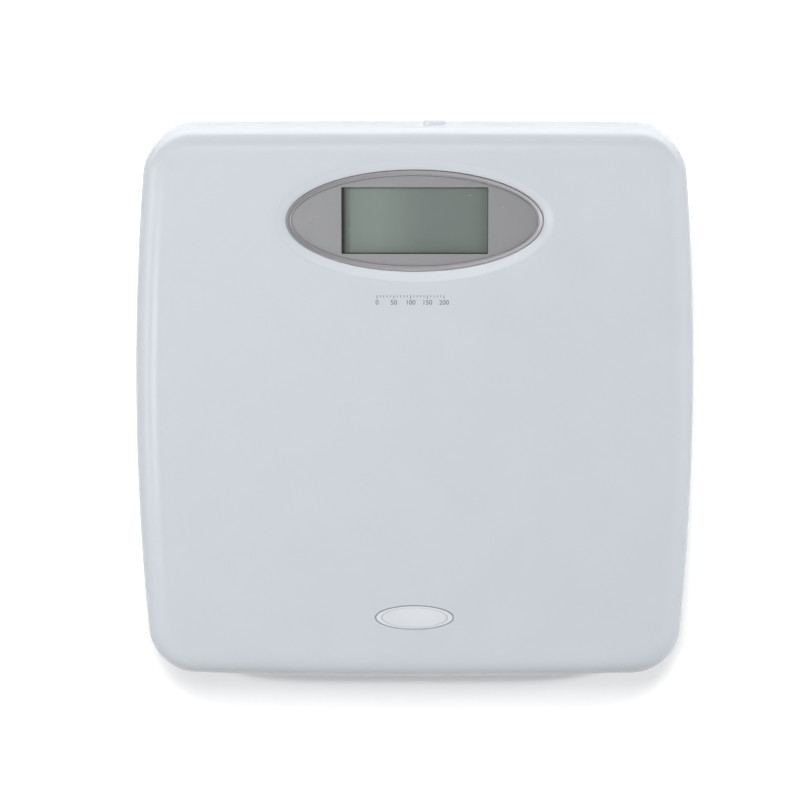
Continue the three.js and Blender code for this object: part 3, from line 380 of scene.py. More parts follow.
specks, given = open_group("specks", Vector=ORIGIN, Spread=160.0, Size=0.06)
grains = add_node(specks, "TexVoronoi", {"Vector": given["Vector"], "Scale": given["Spread"]})
near = maths(specks, "LESS_THAN", grains["Distance"], given["Size"])
patchy = maths(specks, "GREATER_THAN", noise(specks, given["Vector"], 9.0, 1.0), 0.52)
close_group(specks, Mask=maths(specks, "MULTIPLY", near, patchy))

hairline, given = open_group("hairline", Vector=ORIGIN, Place=ORIGIN, Turn=ORIGIN, Shape=(0.002, 0.0001, 1.0))
moved = vector_maths(hairline, "SUBTRACT", given["Vector"], given["Place"])
sockets = {"Vector": moved, "Rotation": given["Turn"]}
aligned = add_node(hairline, "VectorRotate", sockets, rotation_type="EULER_XYZ")[0]
away = vector_maths(hairline, "LENGTH", vector_maths(hairline, "DIVIDE", aligned, given["Shape"]))
close_group(hairline, Mask=fade(hairline, away, 0.4, 1.0, 1.0, 0.0))
print("effects:", [group.name for group in bpy.data.node_groups])

# %% [markdown]
# ## Finishes
# Every finish starts from the Principled shader. Its plain numbers, such as the gloss of a coat, are set on the
# shader itself, and the effects above drive what changes over the surface: colour, roughness and the bump,
# whose depth is in thousandths of a millimetre.
# All of them read Object coordinates, so the pattern stays on the piece when it moves.
# A roughness that drifts keeps wholly above or wholly below 0.27, because the picture's noise filter treats
# smoother surfaces as mirrors, and where a drift crosses that value it draws patches with sharp edges.

# %% Start and end a finish
MICRON = 0.000001
DUST_COLOUR = srgb(150, 150, 148)


def shader_of(tree):
    return tree.nodes["Principled BSDF"].inputs


def start_finish(name, group=moulded_grain, **plain):
    """A material with a shared effect laid on its object coordinates, and plain numbers for both."""
    material = bpy.data.materials.new(name)
    material.use_nodes = True
    tree = material.node_tree
    place = add_node(tree, "TexCoord")["Object"]
    effect = add_node(tree, "Group", {"Vector": place}, node_tree=group)
    own = effect[0].node.inputs
    for socket, value in plain.items():
        owner = own if socket in own else shader_of(tree)
        owner[socket.replace("_", " ")].default_value = value
    return material, tree, place, effect


def end_finish(material, colour, roughness=None, height=None, depth=0, **more):
    """Links colour, roughness, bump and any other sockets of a finish to its shader."""
    tree = material.node_tree
    links = {"Base Color": colour, **more}
    if roughness is not None:
        links["Roughness"] = roughness
    if height is not None:
        links["Normal"] = add_node(tree, "Bump", {"Height": height, "Distance": depth * MICRON})["Normal"]
    for socket, output in links.items():
        tree.links.new(output, shader_of(tree)[socket])
    return material


def between(tree, value, low, high):
    """A 0 to 1 value spread from low to high."""
    return fade(tree, value, 0.25, 0.75, low, high)


def shade(colour, factor):
    return (*[min(1, channel * factor) for channel in colour[:3]], 1)


def moulded(name, colour, roughness=0.4, grain=2600.0, depth=10, patch=14.0, drift=0.015, dust=0.0):
    """Moulded plastic: an even colour that drifts a little, under a fine grain."""
    material, tree, place, effect = start_finish(name, Grain=grain, Patch=patch)
    tone = add_node(tree, "Mix", {0: 0.45, 2: effect["Tone"], 3: effect["Height"]})[0]
    base = tones(tree, tone, shade(colour, 1 - drift), shade(colour, 1 + drift), 0.2, 0.8)
    if dust:
        spots = add_node(tree, "Group", {"Vector": place}, node_tree=specks)["Mask"]
        base = mix_colours(tree, maths(tree, "MULTIPLY", spots, dust), base, DUST_COLOUR)
    gloss = between(tree, effect["Tone"], roughness - 0.03, roughness + 0.03)
    return end_finish(material, base, gloss, effect["Height"], depth)


def metal(name, colour, roughness=0.33, stretch=(0.03, 1.0, 1.0), depth=10, metallic=1.0, drift=0.06):
    """Rolled, drawn or plated metal, with its grain along one direction."""
    material, tree, _, effect = start_finish(name, drawn_grain, Stretch=stretch, Metallic=metallic)
    base = tones(tree, effect["Tone"], shade(colour, 1 - drift), shade(colour, 1 + drift))
    gloss = between(tree, effect["Height"], roughness - 0.05, roughness + 0.05)
    return end_finish(material, base, gloss, effect["Height"], depth)


def drifting(name, dark, pale, smooth, rough, depth=None, stops=(0.3, 0.7), **plain):
    """A plain finish whose colour and roughness drift, with a bump only where it has a depth."""
    material, tree, _, effect = start_finish(name, **plain)
    base = tones(tree, effect["Tone"], dark, pale, *stops)
    height = effect["Height"] if depth else None
    return end_finish(material, base, between(tree, effect["Tone"], smooth, rough), height, depth)


platform_plastic = moulded("platform_plastic", srgb(209, 214, 220), 0.24, 1300.0, 2, patch=30.0, drift=0.02)
tray_plastic = moulded("tray_plastic", srgb(186, 191, 198), 0.55, 1400.0, 30, dust=0.25)
door_plastic = moulded("door_plastic", srgb(188, 193, 200), 0.5, 1400.0, 30)
button_plastic = moulded("button_plastic", srgb(232, 235, 240), 0.45, 1800.0)
cup_plastic = moulded("cup_plastic", srgb(176, 181, 188), 0.55, 1400.0, 30)
frame_plastic = moulded("frame_plastic", srgb(226, 228, 230), 0.5)
black_plastic = moulded("black_plastic", srgb(42, 44, 48), 0.5, drift=0.1)
galvanised_steel = metal("galvanised_steel", srgb(176, 180, 184), 0.42, drift=0.12)
spring_steel = metal("spring_steel", srgb(196, 196, 192))
screw_steel = metal("screw_steel", srgb(150, 152, 156), stretch=(1.0, 1.0, 0.2))
bezel_plating = metal(
    "bezel_plating", srgb(168, 166, 170), stretch=(1.0, 1.0, 1.0), depth=1, metallic=0.7, drift=0.02,
)
RUBBER_COLOUR = srgb(44, 45, 47)
foot_rubber = drifting(
    "foot_rubber", shade(RUBBER_COLOUR, 0.85), shade(RUBBER_COLOUR, 1.5), 0.8, 0.92, 50, (0.35, 0.75),
    Grain=1500.0, Patch=60.0,
)
print(len(bpy.data.materials), "finishes so far")

# %% [markdown]
# ## The outline of the case
# Seen from above, the case is a square with bowed sides and round corners. That is eight arcs, each of which
# runs smoothly into the next, so each corner touches the side's arc and the end's arc from inside. One upright
# profile, spun about each of the eight centres in turn, makes the whole shell, so a rounding drawn once in the
# profile runs evenly round the case. A bevel on a finished block would leave the corners uneven.

# %% Find the eight arcs
CASE_HALF_WIDTH = 165 * MM
CASE_HALF_LENGTH = 164.8 * MM
CORNER_RADIUS = 30 * MM
SIDE_BOW = 5.7 * MM
FRONT_BOW = 2.1 * MM
BACK_BOW = 0.45 * MM
SIDE_STEPS = 20
END_STEPS = 14
CORNER_STEPS = 20


def bowed_edge(bow, reach, half_chord):
    """The radius of a bowed edge, and how far along its own axis its centre lies."""
    radius = (half_chord ** 2 + bow ** 2) / (2 * bow)
    return radius, reach - radius


def corner(side, end):
    """A corner that touches the right side's arc and one end's arc from inside: its centre, and both angles."""
    side_reach = side[0] - CORNER_RADIUS
    end_reach = end[0] - CORNER_RADIUS
    apart = math.hypot(side[1], end[1])
    along = (side_reach ** 2 - end_reach ** 2 + apart ** 2) / (2 * apart)
    across = math.sqrt(side_reach ** 2 - along ** 2)
    towards = Vector((-side[1], end[1])) / apart
    x, y = Vector((
        side[1] + along * towards.x - across * towards.y,
        along * towards.y + across * towards.x,
    ))
    return x, y, math.atan2(y, x - side[1]), math.atan2(y - end[1], x)


def case_arcs():
    """Each arc as its centre, radius, first angle, sweep and number of steps. Each ends where the next starts."""
    side = bowed_edge(SIDE_BOW, CASE_HALF_WIDTH, CASE_HALF_LENGTH - CORNER_RADIUS)
    back = bowed_edge(BACK_BOW, CASE_HALF_LENGTH, CASE_HALF_WIDTH - CORNER_RADIUS)
    front = bowed_edge(FRONT_BOW, CASE_HALF_LENGTH, CASE_HALF_WIDTH - CORNER_RADIUS)
    back_x, back_y, back_side, back_end = corner(side, back)
    front_x, front_y, front_side, front_end = corner(side, front)
    half, full = math.pi, 2 * math.pi
    centres = [
        (side[1], 0), (back_x, back_y), (0, back[1]), (-back_x, back_y),
        (-side[1], 0), (-front_x, -front_y), (0, -front[1]), (front_x, -front_y),
    ]
    radii = [side[0], CORNER_RADIUS, back[0], CORNER_RADIUS, side[0], CORNER_RADIUS, front[0], CORNER_RADIUS]
    angles = [
        -front_side, back_side, back_end, half - back_end, half - back_side,
        half + front_side, half + front_end, full - front_end, full - front_side,
    ]
    steps = 2 * [SIDE_STEPS, CORNER_STEPS, END_STEPS, CORNER_STEPS]
    return [(Vector((*centre, 0)), radius, start, end - start, count)
            for centre, radius, start, end, count in zip(centres, radii, angles, angles[1:], steps)]


CASE_ARCS = case_arcs()
print("arc radii in millimetres:", [round(arc[1] / MM) for arc in CASE_ARCS])

# %% [markdown]
# ## Helpers for shells, rings and finished pieces
# The bmesh operators do the shaping: spin for anything turned, extrude and scale for rings of an oval, and fills
# for flat faces. From here on, each size handed to a helper is in millimetres, and the helper turns it into
# metres. A finished piece rides on a body of the CAD model, takes the place of the nodes it stands for, and is
# smooth except where two faces meet at a clear edge.

# %% Shape with operators
WELD = 0.00002
BLOCK_STEPS = 2
PLATE_STEPS = 3
CORNER_SEGMENTS = 8


def faced(bm):
    """The same solid with all its faces turned outwards."""
    bmesh.ops.recalc_face_normals(bm, faces=bm.faces)
    return bm


def of_kind(items, kind):
    return [item for item in items if isinstance(item, kind)]


def spin(bm, verts, centre, angle, steps, **settings):
    """Joins corners by edges and spins them about an upright axis."""
    edges = [bm.edges.new(pair) for pair in zip(verts, verts[1:])]
    bmesh.ops.spin(bm, geom=verts + edges, cent=centre, axis=(0, 0, 1), angle=angle, steps=steps, **settings)


def spin_case(bm, profile):
    """Spins a profile of (inset, height) points about the eight centres of the case outline."""
    for centre, radius, start, sweep, steps in CASE_ARCS:
        outward = Vector((math.cos(start), math.sin(start), 0))
        verts = [bm.verts.new(centre + outward * (radius - inset * MM) + Vector((0, 0, height * MM)))
                 for inset, height in profile]
        spin(bm, verts, centre, sweep, steps)
    bmesh.ops.remove_doubles(bm, verts=bm.verts, dist=WELD)


def turned(profile, x=0, y=0, segments=64):
    """A turned solid about an upright axis, from a profile of (radius, height) that starts and ends on it."""
    bm = bmesh.new()
    x, y = metres((x, y))
    verts = [bm.verts.new((x + radius * MM, y, height * MM)) for radius, height in profile]
    spin(bm, verts, (x, y, 0), 2 * math.pi, segments, use_merge=True)
    bmesh.ops.remove_doubles(bm, verts=bm.verts, dist=WELD / 2)
    return faced(bm)


def rod(radius, low, high, x, y, segments=48):
    return turned([(0, low), (radius, low), (radius, high), (0, high)], x, y, segments)


def rim_edges(bm, height):
    """The open edges of a shell that lie at one height."""
    return [edge for edge in bm.edges
            if edge.is_boundary and all(abs(vert.co.z - height * MM) < WELD for vert in edge.verts)]


def next_ring(bm, edges):
    """Extrudes a loop of edges and returns the new loop's edges and corners."""
    made = bmesh.ops.extrude_edge_only(bm, edges=edges)["geom"]
    verts = of_kind(made, bmesh.types.BMVert)
    fresh = set(verts)
    return [edge for edge in of_kind(made, bmesh.types.BMEdge) if all(vert in fresh for vert in edge.verts)], verts


def oval_rings(bm, oval, levels):
    """Rings of an oval, each (margin outside the oval, height), joined by a skin. Returns both open loops."""
    middle, half_length, half_width, segments = oval
    rings = [metres((half_length + margin, half_width + margin, height)) for margin, height in levels]
    spot = Vector((0, middle * MM, 0))
    circle = bmesh.ops.create_circle(bm, radius=1, segments=segments)["verts"]
    bmesh.ops.scale(bm, vec=(*rings[0][:2], 1), verts=circle)
    bmesh.ops.translate(bm, vec=spot + Vector((0, 0, rings[0][2])), verts=circle)
    first = loop = list(dict.fromkeys(edge for vert in circle for edge in vert.link_edges))
    for before, after in zip(rings, rings[1:]):
        loop, verts = next_ring(bm, loop)
        growth = (after[0] / before[0], after[1] / before[1], 1)
        bmesh.ops.scale(bm, vec=growth, space=Matrix.Translation(-spot), verts=verts)
        bmesh.ops.translate(bm, vec=(0, 0, after[2] - before[2]), verts=verts)
    return first, loop


def oval_plate(oval, levels):
    """A closed plate with an oval outline."""
    bm = bmesh.new()
    for loop in oval_rings(bm, oval, levels):
        bmesh.ops.edgeloop_fill(bm, edges=loop)
    return bm


def round_off(bm, geom, offset, segments, affect, **settings):
    bmesh.ops.bevel(
        bm, geom=geom, offset=offset * MM, segments=segments, profile=0.5, affect=affect, material=-1, **settings,
    )


def block(low, high, round_over=0.0):
    """A box between two corners, with its edges rounded over."""
    bm = bmesh.new()
    low, high = metres(low), metres(high)
    bmesh.ops.create_cube(bm, size=1)
    bmesh.ops.scale(bm, vec=[b - a for a, b in zip(low, high)], verts=bm.verts)
    bmesh.ops.translate(bm, vec=[(a + b) / 2 for a, b in zip(low, high)], verts=bm.verts)
    if round_over:
        round_off(bm, bm.edges[:], round_over, BLOCK_STEPS, "EDGES", clamp_overlap=True)
    return faced(bm)


def rounded_face(bm, middle, length, width, corner_radius, segments=CORNER_SEGMENTS):
    """A flat rounded rectangle at a height, as one face."""
    before = set(bm.verts)
    bmesh.ops.create_grid(bm, x_segments=1, y_segments=1, size=0.5)
    verts = [vert for vert in bm.verts if vert not in before]
    bmesh.ops.scale(bm, vec=(length * MM, width * MM, 1), verts=verts)
    bmesh.ops.translate(bm, vec=metres(middle), verts=verts)
    round_off(bm, verts, corner_radius, segments, "VERTICES")
    return next(face for face in bm.faces if all(vert not in before for vert in face.verts))


def draw_up(bm, faces, rise):
    """Draws flat faces up into plates, and returns what is at their top."""
    top = bmesh.ops.extrude_face_region(bm, geom=faces)["geom"]
    bmesh.ops.translate(bm, vec=(0, 0, rise * MM), verts=of_kind(top, bmesh.types.BMVert))
    return top


def rounded_block(middle, length, width, corner_radius, low, high, round_over=0.0):
    """An upright rounded rectangle between two heights, with its top edge rounded over."""
    bm = bmesh.new()
    top = draw_up(bm, [rounded_face(bm, (*middle, low), length, width, corner_radius)], high - low)
    if round_over:
        round_off(bm, of_kind(top, bmesh.types.BMEdge), round_over, PLATE_STEPS, "EDGES")
    return faced(bm)


def turn(bm, angle, axis):
    bmesh.ops.rotate(bm, verts=bm.verts, cent=(0, 0, 0), matrix=Matrix.Rotation(angle, 3, axis))
    return bm


trial = rod(10, 0, 10, 0, 0)
print("a rod 20 by 10 millimetres holds", round(trial.calc_volume() / MM ** 3), "cubic millimetres")
trial.free()

# %% Join, cut and finish pieces
SHARP = math.radians(34)


def combine(bm, *steps):
    """Joins or cuts a solid with others, by steps of ("UNION" or "DIFFERENCE", list of solids)."""
    whole = to_object(bm, "whole")
    tools = []
    for operation, solids in steps:
        for solid in solids:
            tools.append(to_object(solid, "tool"))
            boolean = whole.modifiers.new("combine", "BOOLEAN")
            boolean.operation = operation
            boolean.solver = "MANIFOLD"
            boolean.object = tools[-1]
    bpy.context.view_layer.update()
    ready = whole.evaluated_get(bpy.context.evaluated_depsgraph_get())
    result = bmesh.new()
    result.from_mesh(ready.to_mesh())
    ready.to_mesh_clear()
    for spent in [whole, *tools]:
        mesh = spent.data
        bpy.data.objects.remove(spent)
        bpy.data.meshes.remove(mesh)
    return result


def gather(*solids):
    """Puts several closed solids into one bmesh."""
    whole = bmesh.new()
    for solid in solids:
        carrier = bpy.data.meshes.new("carrier")
        solid.to_mesh(carrier)
        solid.free()
        whole.from_mesh(carrier)
        bpy.data.meshes.remove(carrier)
    return whole


def soften(bm):
    """Smooth faces, with a crease where two of them meet at a clear edge."""
    for face in bm.faces:
        face.smooth = True
    for edge in bm.edges:
        edge.smooth = edge.is_manifold and edge.calc_face_angle() < SHARP


def add_piece(bm, name, finish, nodes=(), body="housing"):
    """A finished piece that rides on a body and stands for CAD nodes."""
    soften(bm)
    open_edges = sum(not edge.is_manifold for edge in bm.edges)
    piece = to_object(bm, name)
    piece.data.materials.append(finish)
    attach(piece, body)
    if nodes:
        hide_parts(*nodes)
    print(f"{name}: {len(piece.data.polygons)} faces, {open_edges} open edges")


trial = combine(block((0, 0, 0), (10, 10, 10)), ("DIFFERENCE", [rod(3, -1, 11, 5, 5)]))
print("a bored cube of 10 millimetres holds", round(trial.calc_volume() / MM ** 3), "cubic millimetres")
trial.free()

# %% [markdown]
# ## The platform cover
# The real cover is injection moulded: a flat top with a wide soft rounding, a slightly flared skirt, and an even
# wall with a hollow inside. The top carries a shallow dish round the display and a flat seat for the badge.
# The rounding is a superellipse, which starts to fall a little earlier than a quarter circle and turns faster at
# the edge. A narrow flat strip runs along each edge of the top, so that the shading of the roundings ends there
# and doesn't creep over the large flat faces.

# %% Draw the cover's profile
CASE_TOP = 56
CEILING = 53
SHOULDER = 42
SKIRT_BOTTOM = 12
SKIRT_DRAFT = 1
WALL = 3
ROUNDING_WIDTH = 15.2
ROUNDING_POWER = 2.2
FLAT_STRIP = 0.4
ROUNDING_STEPS = 22
INNER_ROUNDING = 11
INNER_STEPS = 10
LIP = [(0, 1.0), (0.2, 0.35), (0.7, 0), (2.3, 0), (2.8, 0.35), (3, 1.0)]


def quarter_turn(steps):
    return [math.pi / 2 * step / steps for step in range(steps + 1)]


def outer_rounding():
    """From the flat top down to the shoulder."""
    points = [(SKIRT_DRAFT + ROUNDING_WIDTH + FLAT_STRIP, CASE_TOP)]
    for angle in reversed(quarter_turn(ROUNDING_STEPS)):
        across = max(math.cos(angle), 0) ** (2 / ROUNDING_POWER)
        up = math.sin(angle) ** (2 / ROUNDING_POWER)
        points.append((SKIRT_DRAFT + ROUNDING_WIDTH * (1 - across), SHOULDER + (CASE_TOP - SHOULDER) * up))
    return points


def inner_rounding():
    """From the inside of the shoulder up to the ceiling."""
    start = SKIRT_DRAFT + WALL
    return [(start + INNER_ROUNDING * (1 - math.cos(angle)), SHOULDER + INNER_ROUNDING * math.sin(angle))
            for angle in quarter_turn(INNER_STEPS)]


lip = [(inset, SKIRT_BOTTOM + rise) for inset, rise in LIP]
COVER_PROFILE = outer_rounding() + lip + inner_rounding()
print(len(COVER_PROFILE), "points in the cover's profile")

# %% Build the cover
# Each oval: how far back its centre is, its half length, its half width and its number of segments
BEZEL = (110.6, 74.45, 29.4, 192)
BADGE = (-125.4, 23, 7, 96)
SEAT = [(0.6 + FLAT_STRIP, CASE_TOP), (0.6, CASE_TOP), (0.3, 55.7), (0.3, 55)]
DISH = [
    (7.4, 56), (7.0, 56), (6.5, 55.97), (5.9, 55.87), (5.2, 55.7), (4.2, 55.44), (3.0, 55.12),
    (1.8, 54.82), (1.1, 54.67), (0.7, 54.6), (0.4, 54.5), (0.3, 54.3), (0.3, 53),
]
DISH_MARGIN = 6.5
DISH_EDGE = (0.975, 1.0)
# The dish's paler colour is painted light.
DISH_LIT_COLOUR = srgb(213, 218, 224)
BUTTON_X = 11.5
BUTTON_Z = 23
SCREW_PLACES = [(140, 0), (-140, 0), (60, -138.8), (-60, -138.8), (48, 150.3), (-48, 150.3)]
DISPLAY_SCREW_PLACES = [(64, 140.6), (-64, 140.6), (-64, 80.6), (64, 80.6)]
# Each rod: its radius and the heights it runs between
CASE_BOSS = (4.5, 24, 54.5)
CASE_PILOT = (2.1, 23, 40)
DISPLAY_BOSS = (4, 45.9, 54.5)
DISPLAY_PILOT = (1.6, 45, 51.9)
BORE_SEGMENTS = 24
# How long and wide the hole is, its corner radius, and how far back it starts and ends
BUTTON_HOLE = (13.24, 8.24, 2.62, 155, 170)


def oval_distance(tree, place, oval, margin=0):
    """How far out a point lies: 1 on the oval, less inside it."""
    middle, half_length, half_width, _ = oval
    moved = vector_maths(tree, "SUBTRACT", place, (0, middle * MM, 0))
    growth = (1 / ((half_length + margin) * MM), 1 / ((half_width + margin) * MM), 0)
    return vector_maths(tree, "LENGTH", vector_maths(tree, "MULTIPLY", moved, growth))


def polish_dish(tree):
    """A paler colour in the dish round the display: a painted highlight for the light that the dish's slopes
    catch.
    """
    place = add_node(tree, "TexCoord")["Object"]
    inside = fade(tree, oval_distance(tree, place, BEZEL, DISH_MARGIN), *DISH_EDGE, 1.0, 0.0)
    base = shader_of(tree)["Base Color"]
    tree.links.new(mix_colours(tree, inside, base.links[0].from_socket, DISH_LIT_COLOUR), base)


def button_shaped(length, width, corner_radius, front, back, round_over=0.0):
    """A rounded rectangle that runs from front to back at the button's place."""
    upright = rounded_block((BUTTON_X, -BUTTON_Z), length, width, corner_radius, front, back, round_over)
    return turn(upright, -math.pi / 2, "X")


def cover_shell():
    bm = bmesh.new()
    spin_case(bm, COVER_PROFILE)
    oval_rings(bm, BEZEL, DISH)
    seat_bottom = oval_rings(bm, BADGE, SEAT)[1]
    for height, up in ((CASE_TOP, 1), (CEILING, -1)):
        bmesh.ops.triangle_fill(bm, use_beauty=True, edges=rim_edges(bm, height), normal=(0, 0, up))
    bmesh.ops.edgeloop_fill(bm, edges=seat_bottom)
    return faced(bm)


bosses = [rod(*CASE_BOSS, *place) for place in SCREW_PLACES]
bosses += [rod(*DISPLAY_BOSS, *place) for place in DISPLAY_SCREW_PLACES]
holes = [rod(*CASE_PILOT, *place, BORE_SEGMENTS) for place in SCREW_PLACES]
holes += [rod(*DISPLAY_PILOT, *place, BORE_SEGMENTS) for place in DISPLAY_SCREW_PLACES]
holes += [button_shaped(*BUTTON_HOLE)]
cover = combine(cover_shell(), ("UNION", bosses), ("DIFFERENCE", holes))
polish_dish(platform_plastic.node_tree)
add_piece(faced(cover), "platform_shell", platform_plastic, ["platform_cover"])

# %% [markdown]
# ## The badge
# A small domed oval plate sits in its own seat near the front edge: white, with a painted grey rim that stands
# for the shade along its edge, and a fine grey line inside it. A mask of two ovals paints both.

# %% Build the badge
BADGE_DOME = [
    (-0.1, 55.3), (0, 55.4), (0, 55.72), (-0.12, 55.84), (-0.4, 55.9), (-1.4, 55.93), (-3.2, 55.96), (-5.2, 55.98),
]
RIM_SHADE_EDGE = (0.975, 0.99)
LINE_PLACE = 0.84
LINE_HALF_BREADTH = 0.016
LINE_STRENGTH = 0.6


def badge_finish():
    material, tree, place, effect = start_finish(
        "badge_enamel", Grain=1800.0, Patch=40.0, Roughness=0.3, Coat_Weight=0.4, Coat_Roughness=0.12,
    )
    out = oval_distance(tree, place, BADGE)
    # A thin grey rim round the badge: painted shade along its edge.
    rim_shade = fade(tree, out, *RIM_SHADE_EDGE, kind="LINEAR")
    base = tones(tree, effect["Tone"], srgb(222, 225, 230), srgb(228, 231, 235))
    base = mix_colours(tree, rim_shade, base, srgb(120, 124, 132))
    off_line = maths(tree, "ABSOLUTE", maths(tree, "SUBTRACT", out, LINE_PLACE))
    line = maths(tree, "LESS_THAN", off_line, LINE_HALF_BREADTH)
    base = mix_colours(tree, maths(tree, "MULTIPLY", line, LINE_STRENGTH), base, srgb(150, 155, 163))
    return end_finish(material, base, height=effect["Height"], depth=2)


add_piece(faced(oval_plate(BADGE, BADGE_DOME)), "badge_plate", badge_finish(), ["badge"])

# %% [markdown]
# ## The bezel ring
# The display's rim is a plated plastic ring: a small rounded outer edge, a band that slopes gently down to a
# groove, a narrow bead inside it, and a hidden flange under the cover. A ring of one profile is a set of ovals,
# each a little smaller than the last, whose end is bridged back to its start.

# %% Build the bezel ring
RING_PROFILE = [
    (3, 50.9), (3, 52.7), (0, 52.7), (0, 55.46), (-0.05, 55.6), (-0.15, 55.68), (-0.32, 55.7), (-0.55, 55.63),
    (-0.95, 55.5), (-1.35, 55.33), (-1.75, 55.15), (-2.05, 55.02), (-2.15, 55.0), (-2.22, 55.04), (-2.32, 55.15),
    (-2.45, 55.25), (-2.62, 55.28), (-2.8, 55.24), (-2.92, 55.12), (-2.98, 54.95), (-3, 54.7), (-3, 52.5),
    (-4.2, 52.5), (-4.2, 50.9),
]

ring_mesh = bmesh.new()
ring_start, ring_end = oval_rings(ring_mesh, BEZEL, RING_PROFILE)
bmesh.ops.bridge_loops(ring_mesh, edges=ring_start + ring_end)
add_piece(faced(ring_mesh), "bezel_rim", bezel_plating, ["bezel_ring"])

# %% [markdown]
# ## The silver panel
# A thin plate with a rectangular window lies inside the ring. It is painted silver: a mild metallic paint with
# fine flakes, a little duller than the ring. Painted shade makes it a little darker towards the right. Its outline
# and its window are two loops filled as one flat face with a hole, then drawn up into a plate.

# %% Build the panel
PANEL_INSET = -3.05
PANEL_LOW = 52.8
PANEL_HIGH = 53.8
WINDOW = (85.2, 39, 0.5)
WINDOW_SEGMENTS = 4
PAINTED_SHADE_SHARE = 0.7


def silver_finish():
    material, tree, place, effect = start_finish("silver_paint", Grain=3200.0, Patch=16.0, Metallic=0.12)
    across = fade(tree, axes(tree, place)["X"], -BEZEL[1] * MM, BEZEL[1] * MM)
    flakes = tones(tree, effect["Height"], srgb(142, 142, 144), srgb(158, 158, 160))
    # The panel is lighter on the left and darker on the right: painted shade for light that comes from the left.
    drift = mix_colours(tree, across, srgb(163, 163, 165), srgb(152, 152, 154))
    base = mix_colours(tree, PAINTED_SHADE_SHARE, flakes, drift)
    return end_finish(material, base, between(tree, effect["Tone"], 0.42, 0.5), effect["Height"], 1.5)


def panel_plate():
    bm = bmesh.new()
    oval_rings(bm, BEZEL, [(PANEL_INSET, PANEL_LOW)])
    hole = rounded_face(bm, (0, BEZEL[0], PANEL_LOW), *WINDOW, WINDOW_SEGMENTS)
    bmesh.ops.delete(bm, geom=[hole], context="FACES_ONLY")
    bmesh.ops.triangle_fill(bm, use_beauty=True, edges=bm.edges[:], normal=(0, 0, 1))
    draw_up(bm, bm.faces[:], PANEL_HIGH - PANEL_LOW)
    return faced(bm)


add_piece(panel_plate(), "bezel_plate", silver_finish(), ["bezel_panel"])

# %% [markdown]
# ## The clear cover of the display
# A clear acrylic plate with a small bevel covers the silver panel and its window, flush under the ring's bead.
# Its shader bends and mirrors light for the camera. Light on its way to the panel passes straight through,
# because following bent rays to each lamp would only add noise.
# A few hairline scratches catch the light: they are shallow grooves, rougher and paler than the plate.

# %% Build the clear cover
LENS_PROFILE = [(-3.04, 54.1), (-3.04, 55.2), (-3.08, 55.24)]
# Each scratch: its middle, its turn in degrees, and its half length and half breadth
SCRATCHES = [
    ((-60.6, 109.4), 62, (2.0, 0.25)),
    ((-56.0, 112.6), 12, (1.5, 0.2)),
    ((32.1, 125.6), -8, (1.2, 0.25)),
    ((-37.4, 105.5), 0, (0.45, 0.4)),
    ((51.0, 119.0), 35, (1.2, 0.2)),
]
SCRATCH_ROUGHNESS = 0.5
SCRATCH_DEPTH = 60


def scratch_mask(tree, place):
    mask = 0.0
    for middle, angle, reach in SCRATCHES:
        line = add_node(tree, "Group", {
            "Vector": place, "Place": metres((*middle, 0)), "Turn": (0, 0, math.radians(-angle)),
            "Shape": (*metres(reach), 1.0),
        }, node_tree=hairline)["Mask"]
        mask = maths(tree, "MAXIMUM", mask, line)
    return mask


def lens_finish():
    material, tree, place, effect = start_finish(
        "clear_acrylic", Grain=400.0, Patch=20.0, Transmission_Weight=1.0, IOR=1.49, Specular_IOR_Level=0.3,
    )
    clear = tones(tree, effect["Tone"], (0.97, 0.975, 0.975, 1), (0.99, 0.99, 0.99, 1))
    scratched = scratch_mask(tree, place)
    smooth = between(tree, effect["Tone"], 0.01, 0.03)
    rough = maths(tree, "MAXIMUM", smooth, maths(tree, "MULTIPLY", scratched, SCRATCH_ROUGHNESS))
    solid = maths(tree, "SUBTRACT", 1.0, of_ray(tree, PASSING_RAYS))
    base = mix_colours(tree, scratched, clear, WHITE)
    return end_finish(material, base, rough, scratched, SCRATCH_DEPTH, Alpha=solid)


add_piece(faced(oval_plate(BEZEL, LENS_PROFILE)), "clear_plate", lens_finish(), ["display_lens"])

# %% [markdown]
# ## The liquid crystal display
# Two glass plates hold the liquid crystal, and a polarizing sheet on the upper one gives the grey-green look.
# The sheet sits a little to the right in the window, so a dark strip of the masked glass shows on its left, and
# thin dark lines show on its other sides. The sheet's left edge fades softly into that strip: a painted shadow of
# the window's left edge. Painted shade also makes the sheet darker to the right and at the lower edge.

# %% Build the display glass
GLASS_HALF_LENGTH = 46
GLASS_HALF_WIDTH = 22.5
GLASS_STEP = 2
GLASS_LOW, GLASS_SEAM, SHEET_LOW, SHEET_HIGH = 47.9, 49.2, 50.45, 50.6
SHEET_LEFT = -41.0
SHEET_RIGHT = 42.35
SHEET_HALF_WIDTH = 19.15
# Colours across the sheet from left to right: a painted shadow at its left edge, then painted shade that darkens
# it towards the right
SHEET_COLOURS_AND_SHADE = [
    (0.0, srgb(52, 58, 54)), (0.02, srgb(103, 113, 107)), (0.055, srgb(128, 140, 133)),
    (0.2, srgb(130, 142, 135)), (0.6, srgb(114, 124, 119)), (1.0, srgb(117, 128, 122)),
]
SHADE_WIDTH = 7
SHADE_STRENGTH = 0.2
SPECKLE_STRENGTH = 0.04


